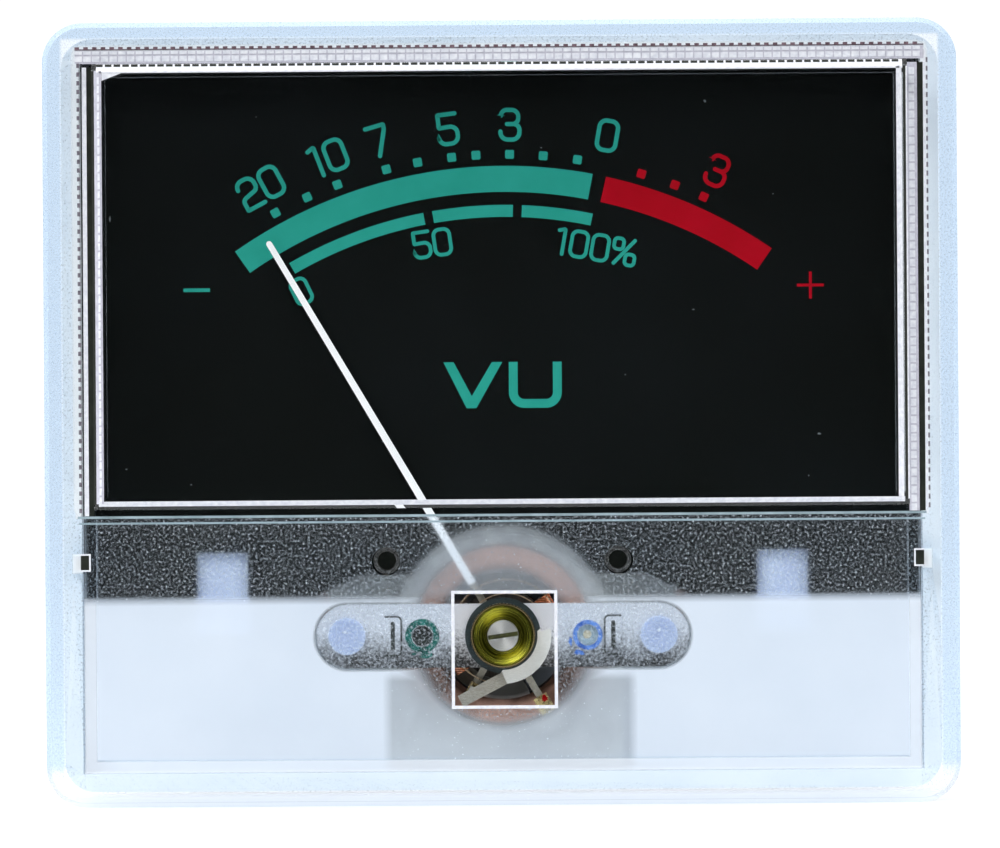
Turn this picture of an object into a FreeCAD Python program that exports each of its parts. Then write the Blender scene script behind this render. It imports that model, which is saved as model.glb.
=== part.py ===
import FreeCAD, Part
import math
import os
import re
import Sketcher

# Analog VU meter: clear cover, white rear case, black dial and a moving coil movement.
# Millimetres. X to the viewer's right, Z up, face towards -Y.
# The origin is where the pointer's pivot axis meets the front face of the flange.

Vector = FreeCAD.Vector
EPS = 1e-3
NEAR = 0.02

# Driving sizes, each held in one cell of the spreadsheet
SIZES = {
    # Front cover
    "flange_wide": 91.5,
    "flange_tall": 78.5,
    "flange_low": 16.9,
    "flange_thick": 2.0,
    "flange_corner": 4.0,
    "flange_edge": 0.5,
    "rim_side": 3.05,
    "rim_top": 2.4,
    "rim_low": 12.0,
    "rim_rise": 3.0,
    "rim_corner": 1.2,
    "pane_side": 2.1,
    "pane_top": 1.9,
    "pane_foot": 0.9,
    "pane_rise": 2.0,
    "pane_bevel": 0.8,
    "pane_thick": 1.6,
    "pane_wall": 1.3,
    "rim_thick": 1.5,
    "rim_foot": 1.4,
    "skirt_wall": 1.2,
    "skirt_deep": 3.0,
    "skirt_gap": 0.2,
    "lens_wide": 10.3,
    "lens_tall": 11.5,
    "lens_right": 0.15,
    "lens_drop": 1.35,
    "lens_thick": 0.9,
    # Rear case
    "case_side": 1.85,
    "case_top": 1.6,
    "case_foot": 1.5,
    "case_wall": 1.8,
    "case_corner": 3.0,
    "case_edge": 1.5,
    "back_thick": 2.0,
    "back_gap": 0.8,
    "tongue_thick": 0.8,
    "tongue_tall": 1.7,
    "tongue_up": 7.5,
    "tongue_gap": 0.15,
    "tongue_recess": 0.5,
    "ledge_tall": 9.0,
    "ledge_deep": 2.2,
    "ledge_high": 47.0,
    "ledge_mid": 14.5,
    "boss_wide": 6.0,
    "peg_wide": 2.6,
    "peg_long": 4.0,
    "peg_gap": 0.04,
    "peg_right": 8.5,
    "peg_down": 10.2,
    # Dial plate and what fixes it
    "dial_gap": 0.25,
    "dial_low": 3.8,
    "dial_thick": 0.5,
    "dial_room": 0.9,
    "arch_radius": 11.0,
    "shoulder_up": 6.1,
    "shoulder_out": 14.5,
    "shoulder_foot": 19.0,
    "light_wide": 5.1,
    "light_tall": 4.6,
    "light_right": 28.2,
    "eyelet_right": 11.65,
    "eyelet_up": 7.5,
    "eyelet_outer": 1.3,
    "eyelet_bore": 0.95,
    "eyelet_lip": 0.22,
    "eyelet_long": 2.0,
    "eyelet_gap": 0.03,
    "stop_wide": 0.8,
    "stop_reach": 12.3,
    "stop_gap": 0.12,
    # Bridges and posts
    "bridge_gap": 1.05,
    "bridge_long": 37.4,
    "bridge_tall": 6.4,
    "bridge_thick": 0.8,
    "post_apart": 31.3,
    "post_head": 1.85,
    "post_head_rise": 0.5,
    "post_shank": 1.4,
    "post_wide": 3.6,
    "post_fit": 0.03,
    "root_wide": 2.4,
    "root_long": 5.0,
    "stake_wide": 2.2,
    "stake_head": 3.2,
    "stake_rise": 0.7,
    "tab_right": 11.05,
    "tab_wide": 1.5,
    "tab_tall": 3.8,
    "tab_rise": 0.3,
    "trim_left": 8.1,
    "trim_right": 8.5,
    "trim_hole": 1.05,
    # Jewel screws, cup, lever and nut
    "screw_radius": 1.55,
    "screw_sink": 0.4,
    "screw_fit": 0.03,
    "slot_wide": 0.45,
    "slot_deep": 0.5,
    "slot_angle": 8.0,
    "screw_reach": 1.2,
    "jewel_radius": 0.75,
    "jewel_long": 0.75,
    "jewel_cup": 0.42,
    "jewel_cup_deep": 0.45,
    "cup_radius": 3.25,
    "cup_tall": 1.45,
    "cup_rim": 0.4,
    "cup_well": 1.9,
    "cup_well_deep": 0.95,
    "lever_thick": 0.25,
    "lever_ring": 3.8,
    "lever_fit": 0.07,
    "sickle_inner": 3.5,
    "sickle_outer": 4.85,
    "sickle_start_angle": 82.0,
    "sickle_end_angle": 183.0,
    "sickle_taper_angle": 4.0,
    "sickle_lap_angle": 8.0,
    "arm_wide": 1.25,
    "arm_end_left": 4.3,
    "arm_end_down": 6.6,
    "anchor_tab": 0.6,
    "anchor_reach": 6.3,
    "anchor_wide": 4.4,
    "anchor_angle": 210.0,
    "nut_flats": 5.0,
    "nut_tall": 1.2,
    # Moving coil, pivots and springs
    "pivot_tip_gap": 0.1,
    "pivot_cone": 0.45,
    "pivot_pin": 0.25,
    "collet_gap": 0.2,
    "collet_radius": 0.9,
    "collet_shoulder": 1.3,
    "base_thick": 0.4,
    "spring_gap": 0.08,
    "spring_wide": 0.4,
    "spring_thick": 0.12,
    "pointer_gap": 0.35,
    "pointer_thick": 0.15,
    "pointer_reach": 46.1,
    "pointer_root": 6.0,
    "pointer_root_wide": 0.8,
    "pointer_tip_wide": 0.6,
    "rest_angle": -30.5,
    "swing_low_angle": 3.0,
    "swing_high_angle": 66.0,
    "cross_thick": 0.2,
    "cross_hub": 1.9,
    "cross_arm": 0.7,
    "cross_front": 9.4,
    "cross_tail": 9.2,
    "cross_side": 7.3,
    "cross_spread_angle": 60.0,
    "cross_fit": 0.02,
    "weight_inset": 0.2,
    "tail_weight_radius": 0.75,
    "tail_weight_long": 1.8,
    "side_weight_radius": 0.5,
    "side_weight_long": 1.5,
    "tail_weight_bevel": 0.4,
    "side_weight_bevel": 0.27,
    "shoulder_long": 0.7,
    "former_half": 5.0,
    "former_thick": 0.3,
    "former_corner": 0.27,
    "former_wide": 2.2,
    "winding_thick": 0.8,
    "winding_corner": 0.7,
    "core_radius": 4.6,
    "core_long": 7.0,
    "core_gap": 0.5,
    # Yoke, frame and plate
    "yoke_inner": 6.6,
    "yoke_outer": 8.9,
    "yoke_long": 6.6,
    "yoke_inset": 0.1,
    "yoke_fit": 0.05,
    "plate_thick": 0.6,
    "plate_radius": 11.2,
    "plate_hole": 9.3,
    "plate_wide": 24.2,
    "plate_low": 13.4,
    "frame_radius": 11.0,
    "frame_inset": 0.8,
    "frame_floor": 1.3,
    "ear_out": 17.6,
    "ear_low": 3.4,
    "ear_high": 9.9,
    "ear_corner": 2.0,
    "finger_half_angle": 24.0,
    "finger_gap": 0.05,
    "finger_foot": 0.6,
    "pillar_wide": 3.6,
    # Rear side
    "stud_right": 18.1,
    "stud_up": 34.0,
    "stud_radius": 1.5,
    "stud_fit": 0.1,
    "stud_head_flats": 5.5,
    "stud_head_tall": 2.0,
    "stud_reach": 10.0,
    "relief_radius": 1.25,
    "relief_long": 0.6,
    "washer_wide": 7.4,
    "washer_thick": 0.6,
    "tag_ring": 3.1,
    "tag_thick": 0.4,
    "tag_wide": 2.4,
    "tag_long": 8.5,
    "tag_slot": 1.0,
    "tag_slot_long": 2.2,
    "tag_tip": 1.2,
    "stud_nut_flats": 5.5,
    "stud_nut_tall": 2.4,
    "lead_wide": 0.6,
    "lead_thick": 0.3,
    "lead_bend": 1.2,
    "lead_foot": 0.6,
    "lead_clear": 3.2,
    "hood_wide": 5.6,
    "hood_low": 0.2,
    "hood_high": 8.9,
    "hood_gap": 0.3,
    "hood_deep": 6.5,
    "hood_bore": 4.0,
    "hood_front": 1.0,
    "lamp_up": 4.6,
    "bulb_radius": 1.6,
    "bulb_gap": 0.3,
    "socket_wide": 5.0,
    "blade_wide": 1.6,
    "blade_thick": 0.5,
    "blade_apart": 2.4,
    "blade_reach": 5.0,
    "blade_root": 2.0,
    "blade_fit": 0.05,
}

COUNTS = {"front_half_turns": 7, "rear_half_turns": 5}

# Places that follow from the sizes, front to back
PLACES = {
    "flange_high": "flange_tall - flange_low",
    "rim_half": "flange_wide / 2 - rim_side",
    "rim_high": "flange_high - rim_top",
    "pane_half": "rim_half - pane_side",
    "pane_low": "rim_low + pane_foot",
    "pane_high": "rim_high - pane_top",
    "rim_front": "0 - rim_rise",
    "pane_front": "rim_front - pane_rise",
    "pane_back": "pane_front + pane_thick",
    "rim_back": "rim_front + rim_thick",
    "case_half": "flange_wide / 2 - case_side",
    "case_low": "flange_low - case_foot",
    "case_high": "flange_high - case_top",
    "room_half": "case_half - case_wall",
    "room_low": "case_low - case_wall",
    "room_high": "case_high - case_wall",
    "skirt_half": "room_half - skirt_gap",
    "skirt_low": "room_low - skirt_gap",
    "skirt_high": "room_high - skirt_gap",
    "bridge_front": "flange_thick + bridge_gap",
    "bridge_back": "bridge_front + bridge_thick",
    "lever_front": "bridge_front - lever_thick",
    "cup_front": "lever_front - cup_tall",
    "screw_front": "cup_front + screw_sink",
    "screw_end": "bridge_back + screw_reach",
    "pivot_tip": "screw_end - jewel_cup_deep + pivot_tip_gap",
    "collet_front": "screw_end + collet_gap",
    "spring_front": "collet_front + spring_gap",
    "spring_back": "spring_front + spring_wide",
    "pointer_front": "spring_back + pointer_gap",
    "cross_front_face": "pointer_front + pointer_thick",
    "shoulder_face": "cross_front_face + cross_thick",
    "base_face": "shoulder_face + shoulder_long",
    "winding_front": "base_face + base_thick",
    "dial_front": "cross_front_face + dial_room",
    "dial_back": "dial_front + dial_thick",
    "former_front": "winding_front + winding_thick",
    "core_front": "former_front + former_thick + core_gap",
    "core_back": "core_front + core_long",
    "former_back": "core_back + core_gap + former_thick",
    "winding_back": "former_back + winding_thick",
    "yoke_front": "core_front - yoke_inset",
    "yoke_back": "yoke_front + yoke_long",
    "frame_front": "yoke_front + plate_thick",
    "frame_back": "yoke_back + frame_floor",
    "rear_base": "winding_back + base_thick",
    "rear_collet_end": "rear_base + shoulder_long + spring_wide + spring_gap * 2",
    "rear_screw_tip": "rear_collet_end + collet_gap",
    "rear_spring_front": "rear_base + shoulder_long + spring_gap",
    "rear_tip": "rear_screw_tip + jewel_cup_deep - pivot_tip_gap",
    "rear_bridge_front": "rear_screw_tip + screw_reach",
    "rear_bridge_back": "rear_bridge_front + bridge_thick",
    "nut_back": "rear_bridge_back + nut_tall",
    "rear_screw_end": "nut_back + screw_sink",
    "back_inner": "rear_screw_end + back_gap",
    "back_outer": "back_inner + back_thick",
    "post_right": "post_apart / 2",
    "coil_angle": "0 - (swing_high_angle - swing_low_angle) / 2",
    "screw_bore": "screw_radius + screw_fit",
    "lead_back": "back_inner - stud_head_tall",
    "lead_run": "lead_back - lead_clear",
    "hood_front_face": "dial_back + hood_gap",
    "hood_back": "hood_front_face + hood_deep",
    "bulb_front": "hood_front_face + hood_front + bulb_gap",
    "washer_back": "back_outer + washer_thick",
    "tag_back": "washer_back + tag_thick",
    "stud_nut_back": "tag_back + stud_nut_tall",
    "stud_end": "back_outer + stud_reach",
}

doc = FreeCAD.newDocument("vu_meter")
sheet = doc.addObject("Spreadsheet::Sheet", "Sizes")
for row, (alias, number) in enumerate(SIZES.items(), start=1):
    sheet.set("A%d" % row, alias)
    sheet.set("B%d" % row, str(number))
    sheet.setAlias("B%d" % row, alias)
doc.recompute()

parts = []


def bound(text):
    """Write a sum of size and place names as an expression on the spreadsheet."""
    def swap(match):
        word = match.group()
        if word in PLACES:
            return "(" + bound(PLACES[word]) + ")"
        if word in SIZES:
            return "Sizes." + word
        return word
    return re.sub(r"[a-z_]+", swap, str(text))


def size(text):
    """The number that a sum of names comes to."""
    return float(sheet.evalExpression(bound(text)))


def along(reach, turn):
    """A point at a reach from the pivot, turned clockwise from straight up, as two expressions."""
    return "(%s) * sin(%s)" % (reach, turn), "(%s) * cos(%s)" % (reach, turn)


def origin_plane(body, role):
    return [item for item in body.Origin.OriginFeatures if item.Role == role][0]


def new_body(name):
    body = doc.addObject("PartDesign::Body", name)
    body.Label = name
    body.AllowCompound = True
    parts.append(body)
    return body


def turn_about_pivot(body, turn):
    """Turn a whole body clockwise about the pointer's axis."""
    body.Placement = FreeCAD.Placement(Vector(0, 0, 0), FreeCAD.Rotation(Vector(0, 1, 0), 1))
    body.setExpression("Placement.Rotation.Angle", bound(turn))


def tie(sketch, kind, *where, value):
    """Add a constraint whose value follows the spreadsheet."""
    index = sketch.addConstraint(Sketcher.Constraint(kind, *where, size(value)))
    sketch.setExpression("Constraints[%d]" % index, bound(value))


def tie_point(sketch, edge, end, across, up):
    tie(sketch, "DistanceX", -1, 1, edge, end, value=across)
    tie(sketch, "DistanceY", -1, 1, edge, end, value=up)


def add_circle(sketch, across, up, radius):
    edge = sketch.addGeometry(Part.Circle(Vector(size(across), size(up), 0), Vector(0, 0, 1), size(radius)))
    tie_point(sketch, edge, 3, across, up)
    tie(sketch, "Radius", edge, value=radius)


def arc_between(start, end, radius):
    """An arc under a half circle; a positive radius bulges to the left of the way along it."""
    middle = (start + end) * 0.5
    chord = end - start
    half = chord.Length / 2
    rise = math.sqrt(max(radius * radius - half * half, 0))
    left = Vector(-chord.y, chord.x, 0).normalize()
    side = 1 if radius > 0 else -1
    centre = middle - left * (rise * side)
    crown = centre + (middle - centre + left * (side * 1e-9)).normalize() * abs(radius)
    return Part.Arc(start, crown, end)


def add_path(sketch, points, closed=True):
    """Lines through points given as (across, up), or arcs into (across, up, radius).

    A closed path whose last point repeats its first one closes with an arc.
    """
    if closed and points[-1][:2] == points[0][:2]:
        points = [points[-1]] + points[1:-1]
    places = [Vector(size(point[0]), size(point[1]), 0) for point in points]
    count = len(points)
    ends = []
    for index in range(count if closed else count - 1):
        start = places[index]
        after = (index + 1) % count
        end = places[after]
        if len(points[after]) == 2:
            edge = sketch.addGeometry(Part.LineSegment(start, end))
            ends.append((edge, 1, 2))
            continue
        radius = size(points[after][2])
        edge = sketch.addGeometry(arc_between(start, end, radius))
        forward = (sketch.getPoint(edge, 1) - start).Length < (sketch.getPoint(edge, 2) - start).Length
        ends.append((edge, 1, 2) if forward else (edge, 2, 1))
        tie(sketch, "Radius", edge, value="abs(%s)" % points[after][2])
    for index, (edge, begin, finish) in enumerate(ends):
        tie_point(sketch, edge, begin, points[index][0], points[index][1])
        if closed or index + 1 < len(ends):
            follower = ends[(index + 1) % len(ends)]
            sketch.addConstraint(Sketcher.Constraint("Coincident", edge, finish, follower[0], follower[1]))
        else:
            tie_point(sketch, edge, finish, points[index + 1][0], points[index + 1][1])


def rectangle(left, right, low, high):
    return [(left, low), (right, low), (right, high), (left, high)]


def square(across, up, wide):
    half = "(%s) / 2" % wide
    return rectangle(across + " - " + half, across + " + " + half, up + " - " + half, up + " + " + half)


def turned_rectangle(reach_in, reach_out, wide, turn):
    """A bar that runs outward from the pivot."""
    corners = []
    for reach, side in ((reach_in, -1), (reach_out, -1), (reach_out, 1), (reach_in, 1)):
        out_x, out_z = along(reach, turn)
        side_x, side_z = along("%s / 2 * %d" % (wide, side), "%s + 90" % turn)
        corners.append((out_x + " + " + side_x, out_z + " + " + side_z))
    return corners


def front_sketch(body, level, loops):
    """A sketch seen from the front, at a depth, holding paths and circles."""
    sketch = body.newObject("Sketcher::SketchObject", body.Label + "_sketch")
    sketch.AttachmentSupport = [(origin_plane(body, "XZ_Plane"), "")]
    sketch.MapMode = "FlatFace"
    sketch.setExpression("AttachmentOffset.Base.z", "0 - (%s)" % bound(level))
    for loop in loops:
        if len(loop) == 3 and isinstance(loop[0], str):
            add_circle(sketch, *loop)
        else:
            add_path(sketch, loop)
    return sketch


def pad(body, level, length, *loops):
    """Material that runs back from a depth."""
    feature = body.newObject("PartDesign::Pad", body.Label + "_pad")
    feature.Profile = front_sketch(body, level, loops)
    feature.Reversed = True
    feature.setExpression("Length", bound(length))
    doc.recompute()
    return feature


def pocket(body, level, length, *loops):
    """A cut that runs back from a depth."""
    sketch = front_sketch(body, level, loops)
    before = body.Shape.Volume
    feature = body.newObject("PartDesign::Pocket", body.Label + "_pocket")
    feature.Profile = sketch
    feature.setExpression("Length", bound(length))
    doc.recompute()
    if body.Shape.Volume > before - EPS:
        print(body.Label + ": a pocket cuts nothing")
    return feature


def section_sketch(body, points, across="0", up="0"):
    """A half section of (radius, depth) points beside an axis that runs front to back."""
    sketch = body.newObject("Sketcher::SketchObject", body.Label + "_section")
    sketch.AttachmentSupport = [(origin_plane(body, "XY_Plane"), "")]
    sketch.MapMode = "FlatFace"
    sketch.setExpression("AttachmentOffset.Base.x", bound(across))
    sketch.setExpression("AttachmentOffset.Base.z", bound(up))
    add_path(sketch, points)
    return sketch


def revolve(body, points, across="0", up="0"):
    feature = body.newObject("PartDesign::Revolution", body.Label + "_turned")
    feature.Profile = section_sketch(body, points, across, up)
    feature.ReferenceAxis = (feature.Profile[0], ["V_Axis"])
    feature.Angle = 360
    doc.recompute()
    return feature


def mirror(body, *features):
    """Repeat features on the other side of the middle plane."""
    feature = body.newObject("PartDesign::Mirrored", body.Label + "_mirror")
    feature.Originals = list(features)
    feature.MirrorPlane = (origin_plane(body, "YZ_Plane"), [""])
    body.Tip = feature
    doc.recompute()
    return feature


def edges_where(body, test):
    """Names of the edges whose middle point and direction pass a test."""
    names = []
    for number, edge in enumerate(body.Shape.Edges, start=1):
        low, high = edge.ParameterRange
        middle = edge.valueAt((low + high) / 2)
        way = edge.tangentAt((low + high) / 2)
        if test(middle, way):
            names.append("Edge%d" % number)
    if not names:
        print(body.Label + ": no edge to soften")
    return names


def soften(body, kind, amount, test):
    """A fillet or chamfer on the edges that pass a test."""
    names = edges_where(body, test)
    base = body.Tip
    feature = body.newObject("PartDesign::" + kind, body.Label + "_" + kind.lower())
    feature.Base = (base, names)
    feature.setExpression("Radius" if kind == "Fillet" else "Size", bound(amount))
    doc.recompute()
    return feature


def near(first, second):
    return abs(first - second) < NEAR


def runs_back(way):
    return abs(way.y) > 0.99


def hexagon(flats, across="0", up="0"):
    """Corner points of a hexagon with a pair of flats upright."""
    points = []
    for corner in range(6):
        out_x, out_z = along("%s / sqrt(3)" % flats, str(60 * corner))
        points.append((across + " + " + out_x, up + " + " + out_z))
    return points


# Front cover: flange, raised rim and pane, locating skirt, small square lens
def make_front_cover():
    body = new_body("front_cover")
    half = "flange_wide / 2"
    pad(body, "0", "flange_thick", rectangle("0 - " + half, half, "0 - flange_low", "flange_high"))
    soften(body, "Fillet", "flange_corner", lambda point, way: runs_back(way))
    soften(body, "Chamfer", "flange_edge", lambda point, way: near(point.y, 0))
    pad(body, "rim_front", "rim_rise", rectangle("0 - (rim_half)", "rim_half", "rim_low", "rim_high"))
    soften(body, "Fillet", "rim_corner", lambda point, way: runs_back(way) and point.y < 0)
    pad(body, "pane_front", "pane_rise", rectangle("0 - (pane_half)", "pane_half", "pane_low", "pane_high"))
    soften(body, "Chamfer", "pane_bevel", lambda point, way: near(point.y, size("pane_front")))
    skirt_in = "skirt_half - skirt_wall"
    pad(body, "flange_thick", "skirt_deep",
        rectangle("0 - (skirt_half)", "skirt_half", "0 - (skirt_low)", "skirt_high"),
        rectangle("0 - (%s)" % skirt_in, skirt_in,
                  "0 - (skirt_low - skirt_wall)", "skirt_high - skirt_wall"))
    pocket(body, "rim_back", "flange_thick - (rim_back)",
           rectangle("0 - (%s)" % skirt_in, skirt_in, "rim_low + rim_foot", "skirt_high - skirt_wall"))
    inner_half = "pane_half - pane_wall"
    pocket(body, "pane_back", "rim_back - (pane_back)",
           rectangle("0 - (%s)" % inner_half, inner_half, "pane_low + pane_wall", "pane_high - pane_wall"))
    pocket(body, "lens_thick", "flange_thick - lens_thick",
           rectangle("lens_right - lens_wide / 2", "lens_right + lens_wide / 2",
                     "0 - lens_drop - lens_tall / 2", "0 - lens_drop + lens_tall / 2"))
    slot = pocket(body, "0", "flange_thick", tongue_outline("tongue_gap"))
    mirror(body, slot)


def tongue_outline(gap):
    """The snap tongue's outline on the right side, grown by a gap."""
    half = "tongue_tall / 2 + " + gap
    return rectangle("room_half - " + gap, "room_half + tongue_thick + " + gap,
                     "tongue_up - (%s)" % half, "tongue_up + " + half)


# Rear case: box, snap tongues, dial ledges, bosses with pegs for the movement, and holes
def make_rear_case():
    body = new_body("rear_case")
    pad(body, "flange_thick", "back_outer - flange_thick",
        rectangle("0 - (case_half)", "case_half", "0 - (case_low)", "case_high"))
    soften(body, "Fillet", "case_corner", lambda point, way: runs_back(way))
    back = size("back_outer")
    soften(body, "Chamfer", "case_edge", lambda point, way: near(point.y, back))
    pocket(body, "flange_thick", "back_inner - flange_thick",
           rectangle("0 - (room_half)", "room_half", "0 - (room_low)", "room_high"))
    ledge_in = "room_half - ledge_deep"
    ledges = [pad(body, "dial_back", "back_inner - (dial_back)",
                  rectangle(ledge_in, "room_half", start, start + " + ledge_tall"))
              for start in ("ledge_high", "ledge_mid")]
    tongue = pad(body, "tongue_recess", "flange_thick - tongue_recess", tongue_outline("0"))
    boss = pad(body, "frame_back", "back_inner - (frame_back)",
               square("peg_right", "0 - peg_down", "boss_wide"))
    peg = pad(body, "frame_back - peg_long", "peg_long", square("peg_right", "0 - peg_down", "peg_wide"))
    mirror(body, *ledges, tongue, boss, peg)
    cuts = [
        pocket(body, "back_inner", "back_thick", ("stud_right", "stud_up", "stud_radius + stud_fit")),
        pocket(body, "back_inner", "back_thick", *blade_outlines("blade_fit")),
    ]
    mirror(body, *cuts)


# Dial plate: thin plate with light cut-outs, arch and eyelet holes
def make_dial_plate():
    body = new_body("dial_plate")
    half = "room_half - dial_gap"
    high = "room_high - dial_gap"
    arch_x = "sqrt(arch_radius * arch_radius - shoulder_up * shoulder_up)"
    outline = [
        ("0 - (%s)" % half, "dial_low"),
        ("0 - shoulder_foot", "dial_low"),
        ("0 - shoulder_out", "shoulder_up"),
        ("0 - " + arch_x, "shoulder_up"),
        ("0", "arch_radius", "arch_radius"),
        (arch_x, "shoulder_up", "arch_radius"),
        ("shoulder_out", "shoulder_up"),
        ("shoulder_foot", "dial_low"),
        (half, "dial_low"),
        (half, high),
        ("0 - (%s)" % half, high),
    ]
    pad(body, "dial_front", "dial_thick", outline)
    light = pocket(body, "dial_front", "dial_thick",
                   rectangle("light_right - light_wide / 2", "light_right + light_wide / 2",
                             "dial_low", "dial_low + light_tall"))
    hole = pocket(body, "dial_front", "dial_thick",
                  ("eyelet_right", "eyelet_up", "eyelet_outer + eyelet_gap"))
    mirror(body, light, hole)
    for outline in stop_outlines():
        pocket(body, "dial_front", "dial_thick", outline)


def stop_outlines():
    """Square pegs past the swing's ends, clear of the pointer's half width by a gap."""
    clear = "asin((pointer_root_wide + stop_wide + stop_gap * 2) / 2 / stop_reach) / 1 deg"
    turns = ("rest_angle - swing_low_angle - " + clear, "rest_angle + swing_high_angle + " + clear)
    return [turned_rectangle("stop_reach - stop_wide / 2", "stop_reach + stop_wide / 2", "stop_wide", turn)
            for turn in turns]


def make_pointer_stops():
    body = new_body("pointer_stops")
    for outline in stop_outlines():
        pad(body, "pointer_front - pointer_gap", "dial_back - (pointer_front) + pointer_gap", outline)


def make_dial_eyelets():
    body = new_body("dial_eyelets")
    tube = revolve(body, [
        ("eyelet_bore", "dial_front - eyelet_lip"),
        ("eyelet_outer", "dial_front - eyelet_lip"),
        ("eyelet_outer", "dial_front + eyelet_long"),
        ("eyelet_bore", "dial_front + eyelet_long"),
    ], "eyelet_right", "eyelet_up")
    mirror(body, tube)


def bar_outline():
    """A bar with round ends."""
    flat = "bridge_long / 2 - bridge_tall / 2"
    end = "bridge_long / 2"
    side = "bridge_tall / 2"
    return [
        ("0 - (%s)" % flat, "0 - " + side),
        (flat, "0 - " + side),
        (end, "0", "0 - " + side),
        (flat, side, "0 - " + side),
        ("0 - (%s)" % flat, side),
        ("0 - " + end, "0", "0 - " + side),
        ("0 - (%s)" % flat, "0 - " + side, "0 - " + side),
    ]


# Bridges: bars that carry the jewel screws
def make_front_bridge():
    body = new_body("front_bridge")
    pad(body, "bridge_front", "bridge_thick", bar_outline(), ("0", "0", "screw_bore"))
    tab = pad(body, "bridge_front - tab_rise", "tab_rise",
              rectangle("tab_right - tab_wide / 2", "tab_right + tab_wide / 2",
                        "0 - tab_tall / 2", "tab_tall / 2"))
    hole = pocket(body, "bridge_front", "bridge_thick", ("post_right", "0", "post_shank + post_fit"))
    mirror(body, tab, hole)
    for place in ("0 - trim_left", "trim_right"):
        pocket(body, "bridge_front", "bridge_thick", (place, "0", "trim_hole"))


def make_rear_bridge():
    body = new_body("rear_bridge")
    half = "bridge_long / 2"
    side = "bridge_tall / 2"
    pad(body, "rear_bridge_front", "bridge_thick", rectangle("0 - " + half, half, "0 - " + side, side),
        ("0", "0", "screw_bore"))
    hole = pocket(body, "rear_bridge_front", "bridge_thick",
                  square("post_right", "0", "stake_wide + post_fit * 2"))
    mirror(body, hole)


def make_bridge_posts():
    body = new_body("bridge_posts")
    crown = "bridge_front - post_head_rise"
    head = revolve(body, [
        ("0", crown),
        ("post_head", crown),
        ("post_head", "bridge_front"),
        ("post_shank", "bridge_front"),
        ("post_shank", "bridge_back"),
        ("0", "bridge_back"),
    ], "post_right")
    post = pad(body, "bridge_back", "frame_front - (bridge_back)", square("post_right", "0", "post_wide"))
    root = pad(body, "frame_front", "root_long", square("post_right", "0", "root_wide"))
    mirror(body, head, post, root)


# Shield plate: grey plate in front of the frame, open over the yoke
def make_shield_plate():
    body = new_body("shield_plate")
    half = "plate_wide / 2"
    pad(body, "yoke_front", "plate_thick",
        rectangle("0 - " + half, half, "0 - plate_low", "0"))
    pad(body, "yoke_front", "plate_thick", ("0", "0", "plate_radius"))
    pocket(body, "yoke_front", "plate_thick", ("0", "0", "plate_hole"))


# Movement frame: block with ears, yoke seat and the two fingers that hold the core
def make_movement_frame():
    body = new_body("movement_frame")
    deep = "frame_back - (frame_front)"
    half = "plate_wide / 2 - frame_inset"
    pad(body, "frame_front", deep, ("0", "0", "frame_radius"))
    pad(body, "frame_front", deep,
        rectangle("0 - (%s)" % half, half, "0 - (plate_low - frame_inset)", "0"))
    pad(body, "frame_front", deep, rectangle("0 - ear_out", "ear_out", "0 - ear_low", "ear_high"))
    soften(body, "Fillet", "ear_corner",
           lambda point, way: runs_back(way) and near(abs(point.x), size("ear_out")))
    pillar = pad(body, "dial_back", "frame_front - (dial_back)",
                 square("eyelet_right", "eyelet_up", "pillar_wide"))
    post = pad(body, "frame_back", "rear_bridge_front - (frame_back)",
               square("post_right", "0", "post_wide"))
    stake = pad(body, "rear_bridge_front", "bridge_thick", square("post_right", "0", "stake_wide"))
    head = pad(body, "rear_bridge_back", "stake_rise", square("post_right", "0", "stake_head"))
    mirror(body, pillar, post, stake, head)
    pocket(body, "frame_front", "yoke_back - (frame_front)", ("0", "0", "yoke_outer + yoke_fit"))
    pocket(body, "yoke_back", "frame_floor", ("0", "0", "yoke_inner"))
    inner = "core_radius + finger_gap"
    outer = "yoke_inner"
    for middle in (0, 180):
        first = "%d - finger_half_angle" % middle
        last = "%d + finger_half_angle" % middle
        pad(body, "core_front + core_gap / 2", "frame_back - (core_front) - core_gap / 2", [
            along(inner, first),
            along(outer, first),
            along(outer, str(middle)) + (outer,),
            along(outer, last) + (outer,),
            along(inner, last),
            along(inner, str(middle)) + ("0 - (%s)" % inner,),
            along(inner, first) + ("0 - (%s)" % inner,),
        ])
        foot = "yoke_inner + finger_foot"
        pad(body, "yoke_back", "frame_floor", [
            along(inner, first),
            along(foot, first),
            along(foot, str(middle)) + (foot,),
            along(foot, last) + (foot,),
            along(inner, last),
            along(inner, str(middle)) + ("0 - (%s)" % inner,),
            along(inner, first) + ("0 - (%s)" % inner,),
        ])
    holes = [
        pocket(body, "dial_back", "eyelet_long",
               ("eyelet_right", "eyelet_up", "eyelet_outer + eyelet_gap")),
        pocket(body, "frame_front", "root_long", square("post_right", "0", "root_wide")),
        pocket(body, "frame_back - peg_long", "peg_long",
               square("peg_right", "0 - peg_down", "peg_wide + peg_gap * 2")),
    ]
    mirror(body, *holes)


def make_yoke_ring():
    body = new_body("yoke_ring")
    pad(body, "yoke_front", "yoke_long", ("0", "0", "yoke_outer"), ("0", "0", "yoke_inner"))


def make_core_magnet():
    body = new_body("core_magnet")
    pad(body, "core_front", "core_long", ("0", "0", "core_radius"))


# Jewel screws, jewels, cup nut and rear nut
def make_front_jewel_screw():
    body = new_body("front_jewel_screw")
    pad(body, "screw_front", "screw_end - (screw_front)", ("0", "0", "screw_radius"))
    pocket(body, "screw_end - jewel_long", "jewel_long", ("0", "0", "jewel_radius"))
    pocket(body, "screw_front", "slot_deep",
           turned_rectangle("0 - screw_radius - slot_wide", "screw_radius + slot_wide",
                            "slot_wide", "90 - slot_angle"))


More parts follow.
